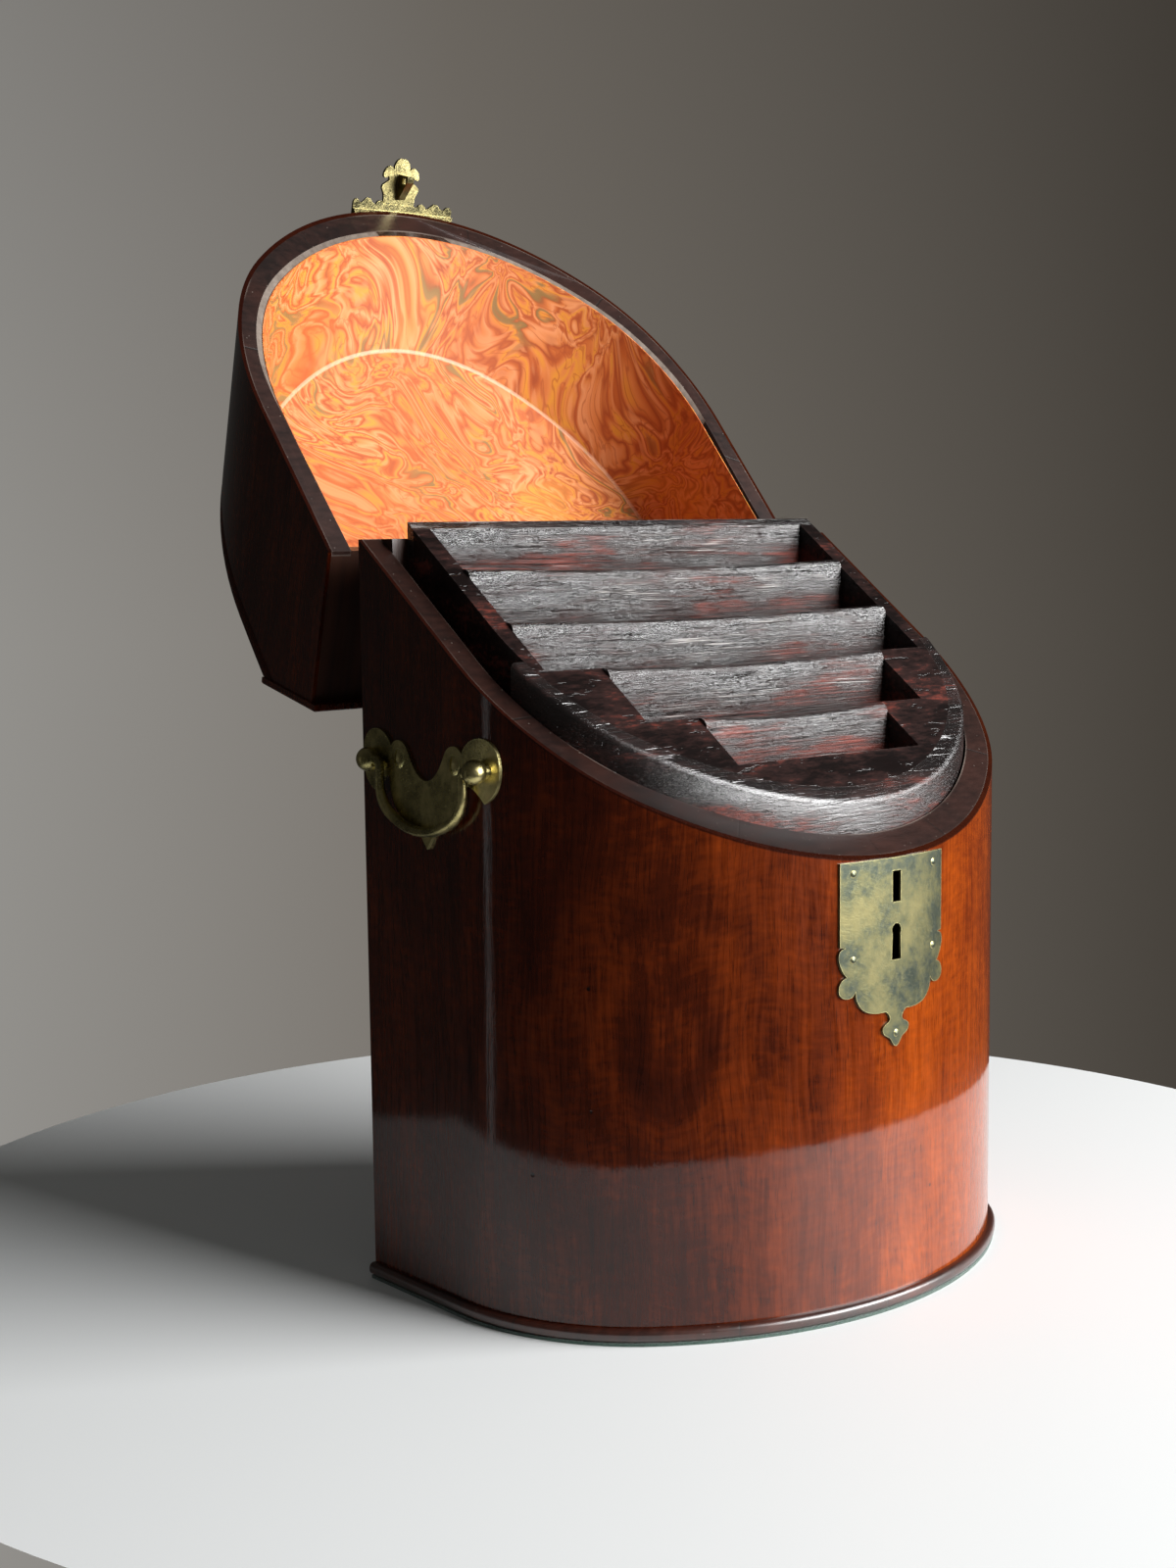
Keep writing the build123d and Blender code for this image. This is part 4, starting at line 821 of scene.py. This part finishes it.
# Paper lining: the sloping sheet was pasted in apart from the wall sheet, over a rounded hollow
liningLook = {
    "hollow": 0.0015,
    "hollowSteps": 5,
    "hollowFrom": 12,
    "otherSheet": (3.0, 1.0, 2.0),
    "slopeAcross": 0.30,
    "slopeDown": -0.45,
    "smoothAngle": 50,
}
liningShape = startShape("lid_lining")
bmesh.ops.recalc_face_normals(liningShape, faces=liningShape.faces[:])
hollows = [edge for edge in sharpEdges(liningShape, liningLook["hollowFrom"]) if not edge.is_convex]
# the rounded hollow's faces take the paler paper, a painted highlight along the crease
bmesh.ops.bevel(
    liningShape, geom=hollows, offset=liningLook["hollow"], segments=liningLook["hollowSteps"],
    profile=0.5, affect="EDGES", clamp_overlap=True, material=1,
)
liningShape.normal_update()
sheetOf = liningShape.faces.layers.float_vector.new("sheet")
for face in liningShape.faces:
    facing = lidTurning @ face.normal
    if abs(facing.x) < liningLook["slopeAcross"] and facing.z < liningLook["slopeDown"]:
        face[sheetOf] = liningLook["otherSheet"]
finishShape(
    liningShape, "paper_lining", ["lid_lining"], [paper, creaseHighlightPaper],
    liningLook["smoothAngle"],
)
print("lining pasted in")

# Lid's banded rim, its inner arris rubbed down to a slope of pale bare wood, whose grey is partly painted sheen
rimLook = {
    "rubbed": 0.0027,
    "from": 0.045,
    "to": 0.0,
    "sharpFrom": 40,
    "flatDown": -0.5,
    "wallUpright": 0.3,
    "middle": 0.02,
}
rimShape = startShape("lid_rim_banding")
bmesh.ops.recalc_face_normals(rimShape, faces=rimShape.faces[:])
pushes = {}
slopes = []
for edge in sharpEdges(rimShape, rimLook["sharpFrom"]):
    facings = [(face, lidTurning @ face.normal) for face in edge.link_faces]
    flat = [face for face, facing in facings if facing.z < rimLook["flatDown"]]
    walls = [(face, facing) for face, facing in facings if abs(facing.z) < rimLook["wallUpright"]]
    if not flat or not walls:
        continue
    inner, facing = walls[0]
    middle = whenShut((edge.verts[0].co + edge.verts[1].co) / 2)
    # a wall that faces the middle of the lid is the inner one
    if facing.x * middle.x + facing.y * (middle.y - rimLook["middle"]) < 0:
        if middle.y < rimLook["from"]:
            slopes.append(inner)
        for corner in edge.verts:
            pushes.setdefault(corner, []).append(-inner.normal)
for corner, facings in pushes.items():
    outward = sum(facings, Vector()).normalized()
    along = whenShut(corner.co).y
    share = min(1.0, max(0.0, (rimLook["from"] - along) / (rimLook["from"] - rimLook["to"])))
    corner.co += outward * rimLook["rubbed"] * share
for face in slopes:
    face.material_index = 1
finishShape(rimShape, "lid_rim", ["lid_rim_banding"], [lidBand, paleStripAndSheen])
print("rim rubbed along", len(slopes), "faces")

# Cast and filed brass with its arrises eased by polishing
easedBrass = {
    "lock_plate": (0.00022, "pale_brass", plateBrass),
    "hasp_plate": (0.00022, "pale_brass", haspBrass),
    "hasp": (0.00030, "pale_brass", haspBrass),
    "handle_plate_left": (0.00030, "old_brass", handleBrass),
    "handle_plate_right": (0.00030, "old_brass", handleBrass),
}
for nodeName, (width, slotName, finish) in easedBrass.items():
    eased(nodeName, nodeName + "_eased", finish, width)
print("brass eased")

# Bails swell toward the middle, where they are flattened for the fingers
bailLook = {
    "flat": 0.30,
    "neck": -0.10,
    "neckFrom": 0.16,
    "swellFrom": 0.15,
    "swellOver": 0.7,
}
for side in ("left", "right"):
    low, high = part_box("bail_" + side)
    middleX = (low.x + high.x) / 2
    shape = startShape("bail_" + side)
    for corner in shape.verts:
        drop = (high.z - corner.co.z) / (high.z - low.z)
        swell = max(0.0, min(1.0, (drop - bailLook["swellFrom"]) / bailLook["swellOver"]))
        swell = swell * swell * (3 - 2 * swell)
        if drop > bailLook["neckFrom"]:
            spread = 1 + bailLook["neck"] + (bailLook["flat"] - bailLook["neck"]) * swell
            corner.co.x = middleX + (corner.co.x - middleX) * spread
    finishShape(shape, "bail_" + side + "_cast", ["bail_" + side], handleBrass)
print("bails shaped")

# Pale round floor, backdrop and lamps
studio = {
    "floorRadius": 0.342,
    "floorCentre": (-0.0015, 0.043),
    "floorColour": (0.80, 0.815, 0.815),
    "floorRoughness": 0.55,
    "floorCorners": 160,
    "windowPlace": (0.95, -1.51, 0.84),
    "windowSize": (1.7, 1.2),
    "windowPower": 124.0,
    "stripPlace": (-1.22, 0.67, 0.02),
    "stripSize": (0.07, 0.7),
    "stripPower": 0.085,
    "stripMatt": 0.15,
    "fill": (0.085, 0.086, 0.083),
    "mirrored": (0.030, 0.029, 0.027),
    "wallLitSide": (0.365, 0.362, 0.348),
    "wallMiddle": (0.182, 0.164, 0.142),
    "wallShadedSide": (0.012, 0.008, 0.004),
    "wallAcross": (0.77, -0.64),
    "wallReach": (-0.42, 0.40),
    "wallMiddleAt": 0.45,
    "topShade": (-0.05, 0.32, 1.0, 0.70),
}
floorShape = bmesh.new()
bmesh.ops.create_circle(
    floorShape, cap_ends=True, radius=studio["floorRadius"], segments=studio["floorCorners"],
)
bmesh.ops.translate(floorShape, verts=floorShape.verts[:], vec=(*studio["floorCentre"], 0))
floorMesh = bpy.data.meshes.new("floor")
floorShape.to_mesh(floorMesh)
floorShape.free()
floorMesh.materials.append(startFinish("floorFinish", {
    "Base Color": studio["floorColour"], "Roughness": studio["floorRoughness"],
})[0])
floor = bpy.data.objects.new("floor", floorMesh)
bpy.context.scene.collection.objects.link(floor)


def lamp(name, place, size, power):
    light = bpy.data.lights.new(name, "AREA")
    light.shape = "RECTANGLE"
    light.size, light.size_y = size
    light.energy = power
    holder = bpy.data.objects.new(name, light)
    holder.location = place
    # each lamp stands upright and faces the middle of the floor
    holder.rotation_euler = Vector((place[0], place[1], 0)).to_track_quat("Z", "Y").to_euler()
    bpy.context.scene.collection.objects.link(holder)
    return holder


lamp("window", studio["windowPlace"], studio["windowSize"], studio["windowPower"])
strip = lamp("strip", studio["stripPlace"], studio["stripSize"], studio["stripPower"])
strip.data.diffuse_factor = studio["stripMatt"]

world = bpy.data.worlds.new("studio")
bpy.context.scene.world = world
world.use_nodes = True
sky = world.node_tree
sky.nodes.clear()
direction = sky.nodes.new("ShaderNodeTexCoord").outputs["Generated"]
apart = putNode(sky, "SeparateXYZ", {"Vector": direction})
# painted light and shade on the backdrop: seen only by the camera, the wall is bright on the left, falls to dark
# on the right and is shaded toward the top
acrossX, acrossY = studio["wallAcross"]
leftToRight = sums(sky, "MULTIPLY_ADD", apart.outputs["X"], acrossX, scaled(sky, apart.outputs["Y"], acrossY))
wall = ramp(sky, between(sky, leftToRight, *studio["wallReach"]), [
    (0.0, studio["wallLitSide"]),
    (studio["wallMiddleAt"], studio["wallMiddle"]),
    (1.0, studio["wallShadedSide"]),
])
topShade = between(sky, apart.outputs["Z"], *studio["topShade"])
grey = putNode(sky, "CombineXYZ", {"X": topShade, "Y": topShade, "Z": topShade}).outputs[0]
wall = mixed(sky, 1.0, wall, grey, "MULTIPLY")
# polished faces mirror a dark room, matt ones take a soft fill
paths = putNode(sky, "LightPath")
unseen = mixed(sky, paths.outputs["Is Glossy Ray"], studio["fill"], studio["mirrored"])
backdrop = putNode(sky, "Background", {
    "Color": mixed(sky, paths.outputs["Is Camera Ray"], unseen, wall),
})
skyOut = putNode(sky, "OutputWorld")
sky.links.new(backdrop.outputs[0], skyOut.inputs["Surface"])

bpy.context.scene.view_settings.view_transform = "Standard"
print("studio ready")
